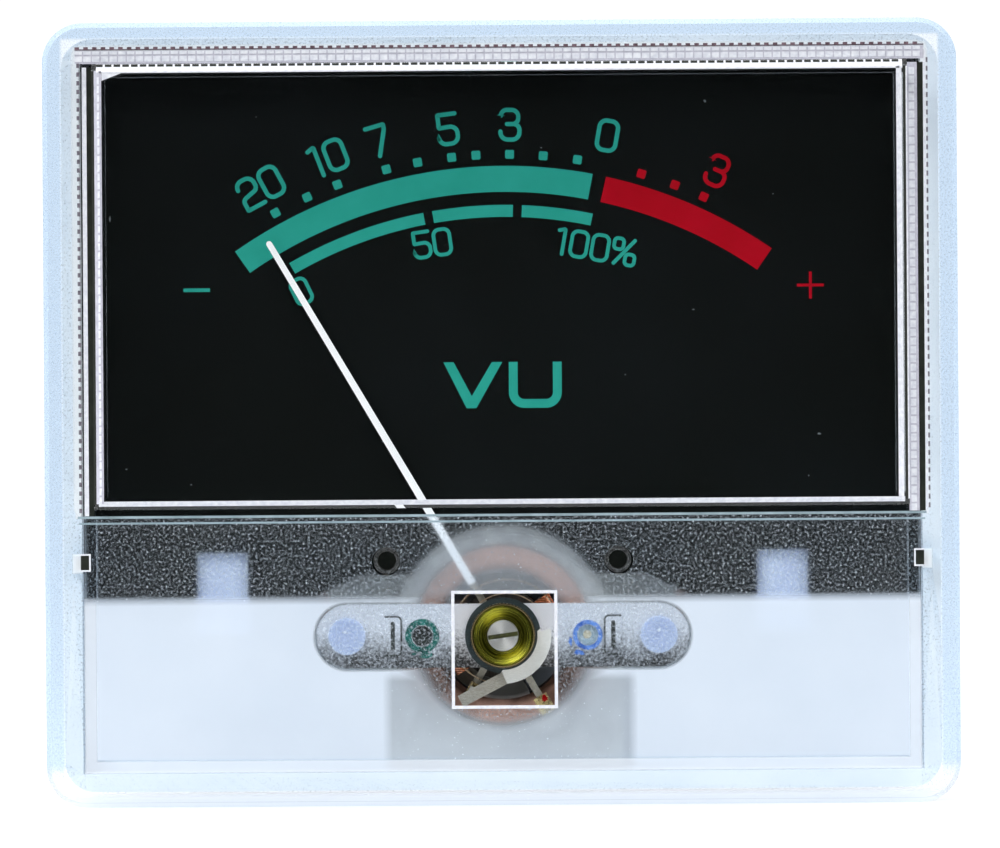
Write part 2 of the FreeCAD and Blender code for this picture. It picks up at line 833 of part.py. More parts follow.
def make_rear_jewel_screw():
    body = new_body("rear_jewel_screw")
    pad(body, "rear_screw_tip", "rear_screw_end - (rear_screw_tip)", ("0", "0", "screw_radius"))
    pocket(body, "rear_screw_tip", "jewel_long", ("0", "0", "jewel_radius"))
    pocket(body, "rear_screw_end - slot_deep", "slot_deep",
           turned_rectangle("0 - screw_radius - slot_wide", "screw_radius + slot_wide",
                            "slot_wide", "90 - slot_angle"))


def make_jewels():
    front = new_body("front_jewel")
    revolve(front, [
        ("0", "screw_end - jewel_long"),
        ("jewel_radius", "screw_end - jewel_long"),
        ("jewel_radius", "screw_end"),
        ("jewel_cup", "screw_end"),
        ("0", "screw_end - jewel_cup_deep"),
    ])
    rear = new_body("rear_jewel")
    revolve(rear, [
        ("0", "rear_screw_tip + jewel_long"),
        ("0", "rear_screw_tip + jewel_cup_deep"),
        ("jewel_cup", "rear_screw_tip"),
        ("jewel_radius", "rear_screw_tip"),
        ("jewel_radius", "rear_screw_tip + jewel_long"),
    ])


def make_lock_cup():
    body = new_body("lock_cup")
    well = "cup_front + cup_well_deep"
    revolve(body, [
        ("cup_radius", "cup_front"),
        ("cup_radius", "lever_front"),
        ("screw_bore", "lever_front"),
        ("screw_bore", well),
        ("cup_well", well),
        ("cup_radius - cup_rim", "cup_front"),
    ])


def make_rear_lock_nut():
    body = new_body("rear_lock_nut")
    pad(body, "rear_bridge_back", "nut_tall", hexagon("nut_flats"), ("0", "0", "screw_bore"))


# Zero lever: washer, sickle and arm, with the tab that takes the spring's outer end
def make_zero_lever():
    body = new_body("zero_lever")
    bore = "screw_radius + lever_fit"
    pad(body, "lever_front", "lever_thick", ("0", "0", "lever_ring"))
    half_way = "(sickle_start_angle + sickle_end_angle) / 2"
    pad(body, "lever_front", "lever_thick", [
        along("sickle_inner", "sickle_start_angle + sickle_taper_angle"),
        along("sickle_outer", "sickle_start_angle"),
        along("sickle_outer", half_way) + ("sickle_outer",),
        along("sickle_outer", "sickle_end_angle") + ("sickle_outer",),
        along("sickle_inner", "sickle_end_angle"),
        along("sickle_inner", half_way) + ("0 - sickle_inner",),
        along("sickle_inner", "sickle_start_angle + sickle_taper_angle") + ("0 - sickle_inner",),
    ])
    start_x, start_z = along("(sickle_inner + sickle_outer) / 2", "sickle_end_angle - sickle_lap_angle")
    run_x = "(0 - arm_end_left - (%s))" % start_x
    run_z = "(0 - arm_end_down - (%s))" % start_z
    long = "sqrt(%s * %s + %s * %s)" % (run_x, run_x, run_z, run_z)
    off_x = "(%s) / %s * arm_wide / 2" % (run_z, long)
    off_z = "(%s) / %s * arm_wide / 2" % (run_x, long)
    pad(body, "lever_front", "lever_thick", [
        ("%s + %s" % (start_x, off_x), "%s - %s" % (start_z, off_z)),
        ("%s - %s" % (start_x, off_x), "%s + %s" % (start_z, off_z)),
        ("0 - arm_end_left - " + off_x, "0 - arm_end_down + " + off_z),
        ("0 - arm_end_left + " + off_x, "0 - arm_end_down - " + off_z),
    ])
    pad(body, "lever_front", "spring_back - (lever_front)",
        turned_rectangle("anchor_reach - anchor_tab / 2", "anchor_reach + anchor_tab / 2",
                         "anchor_tab", "anchor_angle"))
    pocket(body, "lever_front", "lever_thick", ("0", "0", bore))


def make_rear_spring_anchor():
    body = new_body("rear_spring_anchor")
    reach = "anchor_reach + anchor_tab / 2"
    level = "rear_bridge_front - lever_thick"
    pad(body, level, "lever_thick",
        turned_rectangle("0 - anchor_wide / 2", reach, "anchor_wide", "anchor_angle"))
    pad(body, "rear_spring_front", "rear_bridge_front - (rear_spring_front)",
        turned_rectangle("anchor_reach - anchor_tab / 2", reach, "anchor_tab", "anchor_angle"))
    pocket(body, level, "lever_thick", ("0", "0", "screw_bore"))


def spiral_arcs(inner, outer, half_turns):
    """Centres and radii of the half circles of a flat spiral, from the inside out."""
    growth = (outer - inner) / half_turns
    arcs = []
    for step in range(half_turns):
        side = 1 if step % 2 == 0 else -1
        arcs.append((side * growth / 2, inner + growth * (step + 0.5), side))
    return arcs


def spiral_strip(inner, outer, half_turns, thick, front, wide, turn):
    """One unbroken flat strip wound as a spiral, its outer end turned to a direction."""
    arcs = spiral_arcs(inner, outer, half_turns)

    def half_circle(centre, radius, side):
        first = Vector(centre - side * radius, front, 0)
        top = Vector(centre, front, side * radius)
        last = Vector(centre + side * radius, front, 0)
        return first, top, last

    edges = []
    for centre, radius, side in arcs:
        edges.append(Part.Arc(*half_circle(centre, radius + thick / 2, side)).toShape())
    for centre, radius, side in reversed(arcs):
        first, top, last = half_circle(centre, radius - thick / 2, side)
        edges.append(Part.Arc(last, top, first).toShape())
    count = len(arcs)
    outer_last = edges[count - 1].Vertexes[-1].Point
    inner_last = edges[count].Vertexes[0].Point
    edges.insert(count, Part.LineSegment(outer_last, inner_last).toShape())
    edges.append(Part.LineSegment(edges[-1].Vertexes[-1].Point, edges[0].Vertexes[0].Point).toShape())
    face = Part.Face(Part.Wire(Part.__sortEdges__(edges)))
    strip = face.extrude(Vector(0, wide, 0))
    end_side = arcs[-1][2]
    direction = 90 if end_side > 0 else -90
    strip.rotate(Vector(0, 0, 0), Vector(0, 1, 0), turn - direction)
    return strip


def spiral_self_gap(inner, outer, half_turns, thick):
    """Least space between neighbouring turns, measured on points of the centre line."""
    points = []
    for centre, radius, side in spiral_arcs(inner, outer, half_turns):
        for step in range(24):
            angle = math.pi * (1 - step / 24)
            points.append((centre + side * radius * math.cos(angle), side * radius * math.sin(angle)))
    least = outer
    for first in range(len(points)):
        for second in range(first + 36, len(points)):
            apart = math.dist(points[first], points[second])
            least = min(least, apart)
    return least - thick


def make_hairspring(name, front, half_turns):
    inner = size("collet_radius + spring_thick / 2")
    outer = size("anchor_reach - anchor_tab / 2 - spring_thick / 2")
    thick = size("spring_thick")
    spring = doc.addObject("Part::Feature", name)
    spring.Label = name
    spring.Shape = spiral_strip(inner, outer, half_turns, thick, size(front), size("spring_wide"),
                                size("anchor_angle"))
    spring.Placement = FreeCAD.Placement(Vector(0, 0, 0), FreeCAD.Rotation())
    parts.append(spring)
    print("%s: least gap between turns %.2f mm" % (name, spiral_self_gap(inner, outer, half_turns, thick)))


# Pivots: turned bases with hard points
def make_pivots():
    front = new_body("front_pivot")
    revolve(front, [
        ("0", "pivot_tip"),
        ("pivot_pin", "pivot_tip + pivot_cone"),
        ("pivot_pin", "collet_front"),
        ("collet_radius", "collet_front"),
        ("collet_radius", "shoulder_face"),
        ("collet_shoulder", "shoulder_face"),
        ("collet_shoulder", "winding_front"),
        ("0", "winding_front"),
    ])
    rear = new_body("rear_pivot")
    revolve(rear, [
        ("0", "winding_back"),
        ("collet_shoulder", "winding_back"),
        ("collet_shoulder", "rear_base + shoulder_long"),
        ("collet_radius", "rear_base + shoulder_long"),
        ("collet_radius", "rear_collet_end"),
        ("pivot_pin", "rear_collet_end"),
        ("pivot_pin", "rear_tip - pivot_cone"),
        ("0", "rear_tip"),
    ])


# Coil former and winding: two rectangular loops about the core, seen from above
def make_coil_loop(name, half, thick, corner, front, back):
    body = new_body(name)
    sketch = body.newObject("Sketcher::SketchObject", name + "_loop")
    sketch.AttachmentSupport = [(origin_plane(body, "XY_Plane"), "")]
    sketch.MapMode = "FlatFace"
    outer = "%s + %s" % (half, thick)
    add_path(sketch, rectangle("0 - (%s)" % outer, outer,
                               "%s - %s" % (front, thick), "%s + %s" % (back, thick)))
    add_path(sketch, rectangle("0 - (%s)" % half, half, front, back))
    feature = body.newObject("PartDesign::Pad", name + "_pad")
    feature.Profile = sketch
    feature.SideType = "Symmetric"
    feature.setExpression("Length", bound("former_wide"))
    doc.recompute()
    rounded = size(outer)
    soften(body, "Fillet", corner,
           lambda point, way: abs(way.z) > 0.99 and near(abs(point.x), rounded))
    turn_about_pivot(body, "coil_angle")


def make_coil():
    make_coil_loop("coil_former", "former_half", "former_thick", "former_corner",
                   "former_front + former_thick", "former_back - former_thick")
    make_coil_loop("coil_winding", "former_half + former_thick", "winding_thick", "winding_corner",
                   "former_front", "former_back")


# Balance cross, its weights and the pointer
CROSS_ARMS = (
    ("cross_front", "rest_angle"),
    ("cross_tail", "rest_angle + 180"),
    ("cross_side", "rest_angle + 180 - cross_spread_angle"),
    ("cross_side", "rest_angle + 180 + cross_spread_angle"),
)


def make_balance_cross():
    body = new_body("balance_cross")
    pad(body, "cross_front_face", "cross_thick", ("0", "0", "cross_hub"))
    for reach, turn in CROSS_ARMS:
        pad(body, "cross_front_face", "cross_thick", turned_rectangle("0", reach, "cross_arm", turn))
    pocket(body, "cross_front_face", "cross_thick", ("0", "0", "collet_radius + cross_fit"))


WEIGHTS = (
    ("tail_weight", "cross_tail", "rest_angle + 180"),
    ("side_weight", "cross_side", "rest_angle + 180 - cross_spread_angle"),
    ("side_weight", "cross_side", "rest_angle + 180 + cross_spread_angle"),
)


def make_balance_weights():
    """Sleeves near the ends of the tail and side arms, eight-sided and slotted for the arm."""
    body = new_body("balance_weights")
    for kind, reach, turn in WEIGHTS:
        radius = kind + "_radius"
        outer = reach + " - weight_inset"
        pad(body, "cross_front_face + cross_thick / 2 - " + radius, radius + " * 2",
            turned_rectangle("%s - %s_long" % (outer, kind), outer, radius + " * 2", turn))
        reach_in = size("%s - %s_long" % (outer, kind)) - EPS
        reach_out = size(outer) + size(radius) * 1.5
        heading = [size(value) for value in along("1", turn)]
        soften(body, "Chamfer", kind + "_bevel",
               lambda point, way: runs_along(point, way, heading, reach_in, reach_out))
    for kind, reach, turn in WEIGHTS:
        pocket(body, "cross_front_face", "cross_thick", turned_rectangle("0", reach, "cross_arm", turn))


def runs_along(point, way, heading, reach_in, reach_out):
    """True for an edge that runs outward along one arm, between two reaches."""
    out = Vector(heading[0], 0, heading[1])
    return abs(way.y) < 0.01 and abs(out.dot(way)) > 0.99 and reach_in < out.dot(point) < reach_out


def make_pointer():
    body = new_body("pointer")
    turn = "rest_angle"
    points = []
    for reach, wide in (("pointer_root", "pointer_root_wide"), ("pointer_reach - pointer_tip_wide / 2",
                                                                "pointer_tip_wide")):
        for side in (-1, 1):
            out_x, out_z = along(reach, turn)
            side_x, side_z = along("%s / 2 * %d" % (wide, side), turn + " + 90")
            points.append((out_x + " + " + side_x, out_z + " + " + side_z))
    tip = along("pointer_reach", turn)
    radius = "pointer_tip_wide / 2"
    pad(body, "pointer_front", "pointer_thick", [
        points[0],
        points[2],
        tip + (radius,),
        points[3] + (radius,),
        points[1],
    ])


# Terminals: studs, square washers, solder tags and nuts
def make_terminals():
    studs = new_body("terminal_studs")
    head = pad(studs, "lead_back", "stud_head_tall", hexagon("stud_head_flats", "stud_right", "stud_up"))
    shank = revolve(studs, [
        ("0", "back_inner"),
        ("stud_radius", "back_inner"),
        ("stud_radius", "stud_nut_back"),
        ("relief_radius", "stud_nut_back"),
        ("relief_radius", "stud_nut_back + relief_long"),
        ("stud_radius", "stud_nut_back + relief_long"),
        ("stud_radius", "stud_end"),
        ("0", "stud_end"),
    ], "stud_right", "stud_up")
    mirror(studs, head, shank)
    bore = ("stud_right", "stud_up", "stud_radius + stud_fit")
    washers = new_body("terminal_washers")
    washer = pad(washers, "back_outer", "washer_thick",
                 square("stud_right", "stud_up", "washer_wide"), bore)
    mirror(washers, washer)
    tags = new_body("solder_tags")
    inner, outer = "stud_right - %s", "stud_right + %s"
    neck = "tag_wide / 2"
    tip = "tag_tip / 2"
    shoulder = "stud_up - tag_ring"
    foot = "stud_up - tag_long"
    slot = rectangle(inner % "tag_slot / 2", outer % "tag_slot / 2", foot, foot + " + tag_slot_long")
    tag = pad(tags, "washer_back", "tag_thick", [
        (inner % "tag_ring", "stud_up + tag_ring"),
        (inner % "tag_ring", shoulder),
        (inner % neck, shoulder + " - tag_tip"),
        (inner % neck, foot),
        (inner % tip, foot + " - tag_tip"),
        (outer % tip, foot + " - tag_tip"),
        (outer % neck, foot),
        (outer % neck, shoulder + " - tag_tip"),
        (outer % "tag_ring", shoulder),
        (outer % "tag_ring", "stud_up + tag_ring"),
    ], bore, slot)
    mirror(tags, tag)
    nuts = new_body("terminal_nuts")
    nut = pad(nuts, "tag_back", "stud_nut_tall", hexagon("stud_nut_flats", "stud_right", "stud_up"), bore)
    mirror(nuts, nut)


def make_lead(name, across, end, way):
    """A flat strip from a stud's head down to a bridge's end, which it reaches forward (-1) or back (1)."""
    body = new_body(name)
    sketch = body.newObject("Sketcher::SketchObject", name + "_outline")
    sketch.AttachmentSupport = [(origin_plane(body, "YZ_Plane"), "")]
    sketch.MapMode = "FlatFace"
    sketch.setExpression("AttachmentOffset.Base.z", bound(across))
    half = "lead_thick / 2"
    over = "%d * lead_thick / 2" % way
    bend_end = "lead_run + %d * lead_bend" % way
    add_path(sketch, [
        ("lead_back", "stud_up + " + half),
        ("lead_run + lead_bend", "stud_up + " + half),
        ("lead_run - " + half, "stud_up - lead_bend", "0 - lead_bend - " + half),
        ("lead_run - " + half, "lead_foot + lead_bend"),
        (bend_end, "lead_foot - " + over, "%d * (lead_bend + %s)" % (-way, over)),
        (end, "lead_foot - " + over),
        (end, "lead_foot + " + over),
        (bend_end, "lead_foot + " + over),
        ("lead_run + " + half, "lead_foot + lead_bend", "%d * (lead_bend - %s)" % (way, over)),
        ("lead_run + " + half, "stud_up - lead_bend"),
        ("lead_run + lead_bend", "stud_up - " + half, "lead_bend - " + half),
        ("lead_back", "stud_up - " + half),
    ])
    strip = body.newObject("PartDesign::Pad", name + "_pad")
    strip.Profile = sketch
    strip.SideType = "Symmetric"
    strip.setExpression("Length", bound("lead_wide"))
    doc.recompute()


def make_leads():
    make_lead("front_lead", "0 - stud_right", "bridge_back", -1)
    make_lead("rear_lead", "stud_right", "rear_bridge_front", 1)


# Lamps: milky hoods, bulbs, sockets and flat contact blades
def make_lamps():
    hoods = new_body("lamp_hoods")
    hood = pad(hoods, "hood_front_face", "hood_deep",
               rectangle("light_right - hood_wide / 2", "light_right + hood_wide / 2",
                         "hood_low", "hood_high"))
    bore = pocket(hoods, "hood_front_face + hood_front", "hood_deep - hood_front",
                  square("light_right", "lamp_up", "hood_bore"))
    mirror(hoods, hood, bore)
    bulbs = new_body("lamp_bulbs")
    bulb = revolve(bulbs, [
        ("0", "bulb_front"),
        ("bulb_radius", "bulb_front"),
        ("bulb_radius", "hood_back"),
        ("0", "hood_back"),
    ], "light_right", "lamp_up")
    mirror(bulbs, bulb)
    sockets = new_body("lamp_sockets")
    block = pad(sockets, "hood_back", "back_inner - (hood_back)",
                square("light_right", "lamp_up", "socket_wide"))
    seats = pocket(sockets, "back_inner - blade_root", "blade_root", *blade_outlines("0"))
    mirror(sockets, block, seats)
    blades = new_body("lamp_blades")
    blade = pad(blades, "back_inner - blade_root", "blade_root + back_thick + blade_reach",
                *blade_outlines("0"))
    mirror(blades, blade)


def blade_outlines(gap):
    """The two contact blades of the right lamp, one above the other, grown by a gap."""
    half_wide = "(blade_wide / 2 + %s)" % gap
    half_thick = "(blade_thick / 2 + %s)" % gap
    outlines = []
    for sign in ("+", "-"):
        middle = "lamp_up %s blade_apart / 2" % sign
        outlines.append(rectangle("light_right - " + half_wide, "light_right + " + half_wide,
                                  middle + " - " + half_thick, middle + " + " + half_thick))
    return outlines


def make_springs():
    make_hairspring("front_hairspring", "spring_front", COUNTS["front_half_turns"])
    make_hairspring("rear_hairspring", "rear_spring_front", COUNTS["rear_half_turns"])


def build():
    make_front_cover()
    make_rear_case()
    make_dial_plate()
    make_dial_eyelets()
    make_pointer_stops()
    make_front_bridge()
    make_rear_bridge()
    make_bridge_posts()
    make_shield_plate()
    make_movement_frame()
    make_yoke_ring()
    make_core_magnet()
    make_front_jewel_screw()
    make_rear_jewel_screw()
    make_jewels()
    make_lock_cup()
    make_rear_lock_nut()
    make_zero_lever()
    make_rear_spring_anchor()
    make_springs()
    make_pivots()
    make_coil()
    make_balance_cross()
    make_balance_weights()
    make_pointer()
    make_terminals()
    make_leads()
    make_lamps()


def check_and_export():
    doc.recompute()
    faults = []
    for item in doc.Objects:
        if "Invalid" in item.State or "Error" in item.State:
            faults.append(item.Label + " is in error")
    for part in parts:
        if part.Shape.isNull() or not part.Shape.isValid():
            faults.append(part.Label + " has no valid shape")
    if faults:
        raise ValueError("; ".join(faults))
    os.makedirs("parts", exist_ok=True)
    for part in parts:
        part.Shape.exportStep("parts/%s.step" % part.Label)
        box = part.Shape.BoundBox
        print("%-20s %2d solids %9.2f mm3  y %6.2f to %6.2f"
              % (part.Label, len(part.Shape.Solids), part.Shape.Volume, box.YMin, box.YMax))


build()
check_and_export()
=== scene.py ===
import math
import random

import bmesh
import bpy
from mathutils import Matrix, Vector


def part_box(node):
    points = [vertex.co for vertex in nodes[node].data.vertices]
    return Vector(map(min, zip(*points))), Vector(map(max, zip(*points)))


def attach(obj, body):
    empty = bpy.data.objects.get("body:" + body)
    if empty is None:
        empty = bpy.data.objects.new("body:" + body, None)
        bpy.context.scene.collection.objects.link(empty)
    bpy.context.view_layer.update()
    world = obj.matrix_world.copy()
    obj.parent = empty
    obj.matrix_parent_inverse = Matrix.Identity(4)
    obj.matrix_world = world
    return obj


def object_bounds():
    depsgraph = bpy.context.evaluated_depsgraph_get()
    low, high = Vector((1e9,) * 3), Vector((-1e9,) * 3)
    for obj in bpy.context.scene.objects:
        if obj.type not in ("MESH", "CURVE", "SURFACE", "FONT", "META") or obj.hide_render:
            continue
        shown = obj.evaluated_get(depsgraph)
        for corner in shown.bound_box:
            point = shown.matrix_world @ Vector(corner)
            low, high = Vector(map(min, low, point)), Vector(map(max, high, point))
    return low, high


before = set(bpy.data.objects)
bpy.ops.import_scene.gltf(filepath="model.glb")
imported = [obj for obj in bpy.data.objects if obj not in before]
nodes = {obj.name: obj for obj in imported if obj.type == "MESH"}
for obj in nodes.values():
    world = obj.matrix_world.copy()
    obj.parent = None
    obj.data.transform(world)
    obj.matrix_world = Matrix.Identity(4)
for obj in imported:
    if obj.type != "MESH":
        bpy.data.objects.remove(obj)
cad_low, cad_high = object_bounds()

# Analog VU meter: the printed dial, small trim and finishes over the CAD frame.
# X is to the viewer's right, Y back and Z up, from the pointer's axis at the flange's face.
# Lengths are in millimetres and angles in degrees clockwise from straight up.
# MM turns a length into the frame's metres.
MM = 0.001
SEED = 7


def box(name):
    """A node's lowest and highest corner."""
    low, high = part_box(name)
    return low / MM, high / MM


# Arithmetic on the values of a node tree
NOISE_LOW, NOISE_HIGH = 0.3, 0.7


class Field:
    """A value that varies over a surface: the output socket of a node."""

    def __init__(self, tree, socket):
        self.tree = tree
        self.socket = socket

    def __add__(self, other):
        return calculate("ADD", self, other)

    def __sub__(self, other):
        return calculate("SUBTRACT", self, other)

    def __rsub__(self, other):
        return calculate("SUBTRACT", other, self)

    def __mul__(self, other):
        return calculate("MULTIPLY", self, other)

    def __truediv__(self, other):
        return calculate("DIVIDE", self, other)

    def __abs__(self):
        return calculate("ABSOLUTE", self)


def plug(value, socket):
    """Link a field to a socket, or set the socket to a plain number or colour."""
    if isinstance(value, Field):
        value.tree.links.new(value.socket, socket)
    elif isinstance(value, tuple):
        socket.default_value = (*value, 1)
    else:
        socket.default_value = value


def calculate(operation, *values):
    """The result of a math node fed with fields and plain numbers."""
    tree = next(value.tree for value in values if isinstance(value, Field))
    node = tree.nodes.new("ShaderNodeMath")
    node.operation = operation
    for value, socket in zip(values, node.inputs):
        plug(value, socket)
    return Field(tree, node.outputs["Value"])


def most(first, *others):
    """The largest of some values."""
    for other in others:
        first = calculate("MAXIMUM", first, other)
    return first


def distance(across, up):
    """How long the way is that goes so far across and up."""
    return calculate("SQRT", across * across + up * up)


def along(across, up, degrees):
    """How far a point lies in a direction."""
    turn = math.radians(degrees)
    return across * math.sin(turn) + up * math.cos(turn)


def spread(value, low, high, start=NOISE_LOW, end=NOISE_HIGH):
    """A value mapped so that it goes from low to high between a start and an end."""
    node = value.tree.nodes.new("ShaderNodeMapRange")
    plug(value, node.inputs["Value"])
    for name, number in (("From Min", start), ("From Max", end), ("To Min", low), ("To Max", high)):
        node.inputs[name].default_value = number
    return Field(value.tree, node.outputs["Result"])


def rise(value, start, end):
    """0 up to a start, 1 from an end."""
    return spread(value, 0, 1, start, end)


def fall(value, start, end):
    """1 up to a start, 0 from an end."""
    return spread(value, 1, 0, start, end)


def between(value, low, high, soft=0.05):
    """1 where a value lies between two places, with narrow soft edges."""
    return rise(value, low - soft, low + soft) * fall(value, high - soft, high + soft)


def tones(value, dark, light, start=NOISE_LOW, end=NOISE_HIGH):
    """Colours between two tones."""
    node = value.tree.nodes.new("ShaderNodeValToRGB")
    for stop, place, colour in zip(node.color_ramp.elements, (start, end), (dark, light)):
        stop.position = place
        stop.color = (*colour, 1)
    plug(value, node.inputs["Fac"])
    return Field(value.tree, node.outputs["Color"])


def blended(factor, first, second):
    """A colour between two colours, plain or varying."""
    node = factor.tree.nodes.new("ShaderNodeMix")
    node.data_type = "RGBA"
    plug(factor, node.inputs["Factor"])
    plug(first, node.inputs["A"])
    plug(second, node.inputs["B"])
    return Field(factor.tree, node.outputs["Result"])


def noise(point, size, detail=3.0, roughness=0.55):
    """Even noise whose lumps are about a size."""
    node = point.tree.nodes.new("ShaderNodeTexNoise")
    node.inputs["Scale"].default_value = 1 / size
    node.inputs["Detail"].default_value = detail
    node.inputs["Roughness"].default_value = roughness
    plug(point, node.inputs["Vector"])
    return Field(point.tree, node.outputs["Fac"])


class Finish:
    """A material in the making: one principled surface on its own node tree."""

    def __init__(self, name, **sockets):
        self.material = bpy.data.materials.new(name)
        self.material.use_nodes = True
        self.tree = self.material.node_tree
        self.tree.nodes.clear()
        self.output = self.tree.nodes.new("ShaderNodeOutputMaterial")
        self.shader = self.tree.nodes.new("ShaderNodeBsdfPrincipled")
        for socket, value in sockets.items():
            self.shader.inputs[socket.replace("_", " ")].default_value = value
        self.tree.links.new(self.shader.outputs["BSDF"], self.output.inputs["Surface"])

    def point(self, stretch=(1, 1, 1), turn=0.0):
        """Where a point is on the object at rest, stretched to run a grain along one way."""
        where = self.tree.nodes.new("ShaderNodeTexCoord")
        mapping = self.tree.nodes.new("ShaderNodeMapping")
        mapping.inputs["Scale"].default_value = [factor / MM for factor in stretch]
        mapping.inputs["Rotation"].default_value = (0, math.radians(turn), 0)
        self.tree.links.new(where.outputs["Object"], mapping.inputs["Vector"])
        return Field(self.tree, mapping.outputs["Vector"])

    def position(self):
        """Where a point is at rest: across, back and up."""
        split = self.tree.nodes.new("ShaderNodeSeparateXYZ")
        plug(self.point(), split.inputs["Vector"])
        return [Field(self.tree, split.outputs[axis]) for axis in "XYZ"]

    def dress(self, colour, rough, bumps=None, depth=0.0):
        """Set the colour, the roughness and perhaps bumps of a depth, and give the material."""
        plug(colour, self.shader.inputs["Base Color"])
        plug(rough, self.shader.inputs["Roughness"])
        if bumps:
            relief = self.tree.nodes.new("ShaderNodeBump")
            relief.inputs["Distance"].default_value = depth * MM
            plug(bumps, relief.inputs["Height"])
            self.tree.links.new(relief.outputs["Normal"], self.shader.inputs["Normal"])
        return self.material


# Plain finishes
def moulded(name, dark, light, rough=(0.35, 0.5), lump=4.0, grain=0.15, depth=0.004, **sockets):
    """Moulded plastic or paint: faint clouds of tone, and a fine grain."""
    finish = Finish(name, **sockets)
    here = finish.point()
    colour = tones(noise(here, lump), dark, light)
    return finish.dress(colour, spread(noise(here, lump / 3), *rough), noise(here, grain), depth)


def milky(name, dark, light):
    """Milky moulding that light soaks into."""
    return moulded(name, dark, light, rough=(0.3, 0.45), Subsurface_Weight=0.6,
                   Subsurface_Radius=(1.2 * MM, 1.2 * MM, 1.4 * MM), Subsurface_Scale=1.0)


def drawn_metal(name, dark, light, rough=(0.2, 0.35), stretch=(1, 1, 1), lump=0.6, depth=0.002):
    """Plain or brushed metal: the grain runs along the way that isn't stretched."""
    finish = Finish(name, Metallic=1.0)
    streaks = noise(finish.point(stretch), lump, detail=5.0)
    return finish.dress(tones(streaks, dark, light), spread(streaks, *rough), streaks, depth)


RING_PITCH, RING_DEPTH = 0.09, 0.001
RING_SHARE, HIGHLIGHT_SHARE, HIGHLIGHT_POWER = 0.4, 0.6, 5.0
EDGE_SOFT = 0.06
OFF_AXIS = 0.01


def turned_metal(name, dark, light, rough, highlight_turn, edge=None):
    """Metal turned about the pivot's axis: fine rings, two painted highlight sectors, and perhaps a bright
    edge.
    """
    finish = Finish(name, Metallic=1.0)
    across, _, up = finish.position()
    radius = distance(across, up)
    wave = finish.tree.nodes.new("ShaderNodeTexNoise")
    wave.noise_dimensions = "1D"
    wave.inputs["Scale"].default_value = 1 / RING_PITCH
    plug(radius, wave.inputs["W"])
    rings = Field(finish.tree, wave.outputs["Fac"])
    # Painted highlights: the sectors that face the highlight's turn, and the opposite way, are lighter
    facing = along(across, up, highlight_turn) / (radius + OFF_AXIS)
    highlight_sectors = calculate("POWER", abs(facing), HIGHLIGHT_POWER)
    colour = tones(rings * RING_SHARE + highlight_sectors * HIGHLIGHT_SHARE, dark, light, 0.15, 0.75)
    if edge:
        edge_radius, edge_colour = edge
        colour = blended(rise(radius, edge_radius, edge_radius + EDGE_SOFT), colour, edge_colour)
    return finish.dress(colour, spread(rings, *rough), rings, RING_DEPTH)


# The lever: its grain, where the arm is bent back and carries painted shade, its sickle, and the radius of
# the painted shadow round the cup
LEVER_GRAIN, LEVER_TURN = (1, 1, 6), 51.566
ARM_WAY, ARM_BEND = 246.0, (1.55, 1.67)
SICKLE_WAY, SICKLE_FACING = 132.0, (0.60, 0.66)
CUP_SHADOW_RADIUS, SICKLE_IN, RING_SOFT = 3.90, 0.42, 0.04


def lever_strip():
    """Bright strip, with painted shade where it is bent back into the arm and a painted shadow round the cup.
    """
    finish = Finish("lever_strip", Metallic=0.35)
    across, _, up = finish.position()
    radius = distance(across, up)
    streaks = noise(finish.point(LEVER_GRAIN, LEVER_TURN), 0.3, detail=4.0)
    bright = tones(streaks, (0.80, 0.80, 0.76), (0.95, 0.95, 0.91))
    bend_shade_tone = tones(streaks, (0.26, 0.245, 0.21), (0.46, 0.44, 0.38))
    # Painted shadow round the cup
    dark = tones(streaks, (0.012, 0.018, 0.018), (0.05, 0.075, 0.085))
    shaded_bend = rise(along(across, up, ARM_WAY), *ARM_BEND)
    in_sickle = rise(along(across, up, SICKLE_WAY) / radius, *SICKLE_FACING)
    past_cup_shadow = radius - (CUP_SHADOW_RADIUS - in_sickle * SICKLE_IN)
    colour = blended(fall(past_cup_shadow, -RING_SOFT, 0), blended(shaded_bend, bright, bend_shade_tone), dark)
    return finish.dress(colour, spread(streaks, 0.28, 0.42), streaks, 0.0006)


# Zones of the cover: the window's rim, the small square, and clear discs over the eyelets
RIM_SIDE, RIM_TOP, RIM_LOW = 3.05, 2.4, 12.0
LENS_RIGHT, LENS_DROP, LENS_WIDE, LENS_TALL = 0.15, 1.35, 10.3, 11.5
LENS_SIDES = (LENS_RIGHT - LENS_WIDE / 2, LENS_RIGHT + LENS_WIDE / 2)
LENS_ENDS = (-LENS_DROP - LENS_TALL / 2, -LENS_DROP + LENS_TALL / 2)
EYELET_RIGHT, EYELET_UP = 11.65, 7.5
PEEP_FADE = (1.4, 1.45)

# What stands close behind the frost: the bar, the ring, the dial's foot, the leg below and the dome above,
# whose span also takes painted light
BAR_STRAIGHT, BAR_FADE = 15.5, (3.25, 3.6)
RING_FADE, FOOT_FADE = (8.0, 11.4), (3.2, 4.2)
LEG_SIDES, LEG_ENDS, LEG_SOFT, LEG_SHOWS = (-11.6, 13.0), (-13.6, -4.0), 0.5, 0.52
DOME_FADE, DOME_FOOT = (10.0, 11.8), (3.0, 4.4)

# The rib behind the flange, the flange's bottom edge, and the depth between its front and rear
SKIRT_SIDE, SKIRT_LOW, SKIRT_WALL, SKIRT_SOFT = 41.85, -13.5, 1.2, 0.08
SKIRT_END = 0.1
UNDER_FADE = (-16.0, -15.4)
REAR_FADE = (0.9, 1.1)
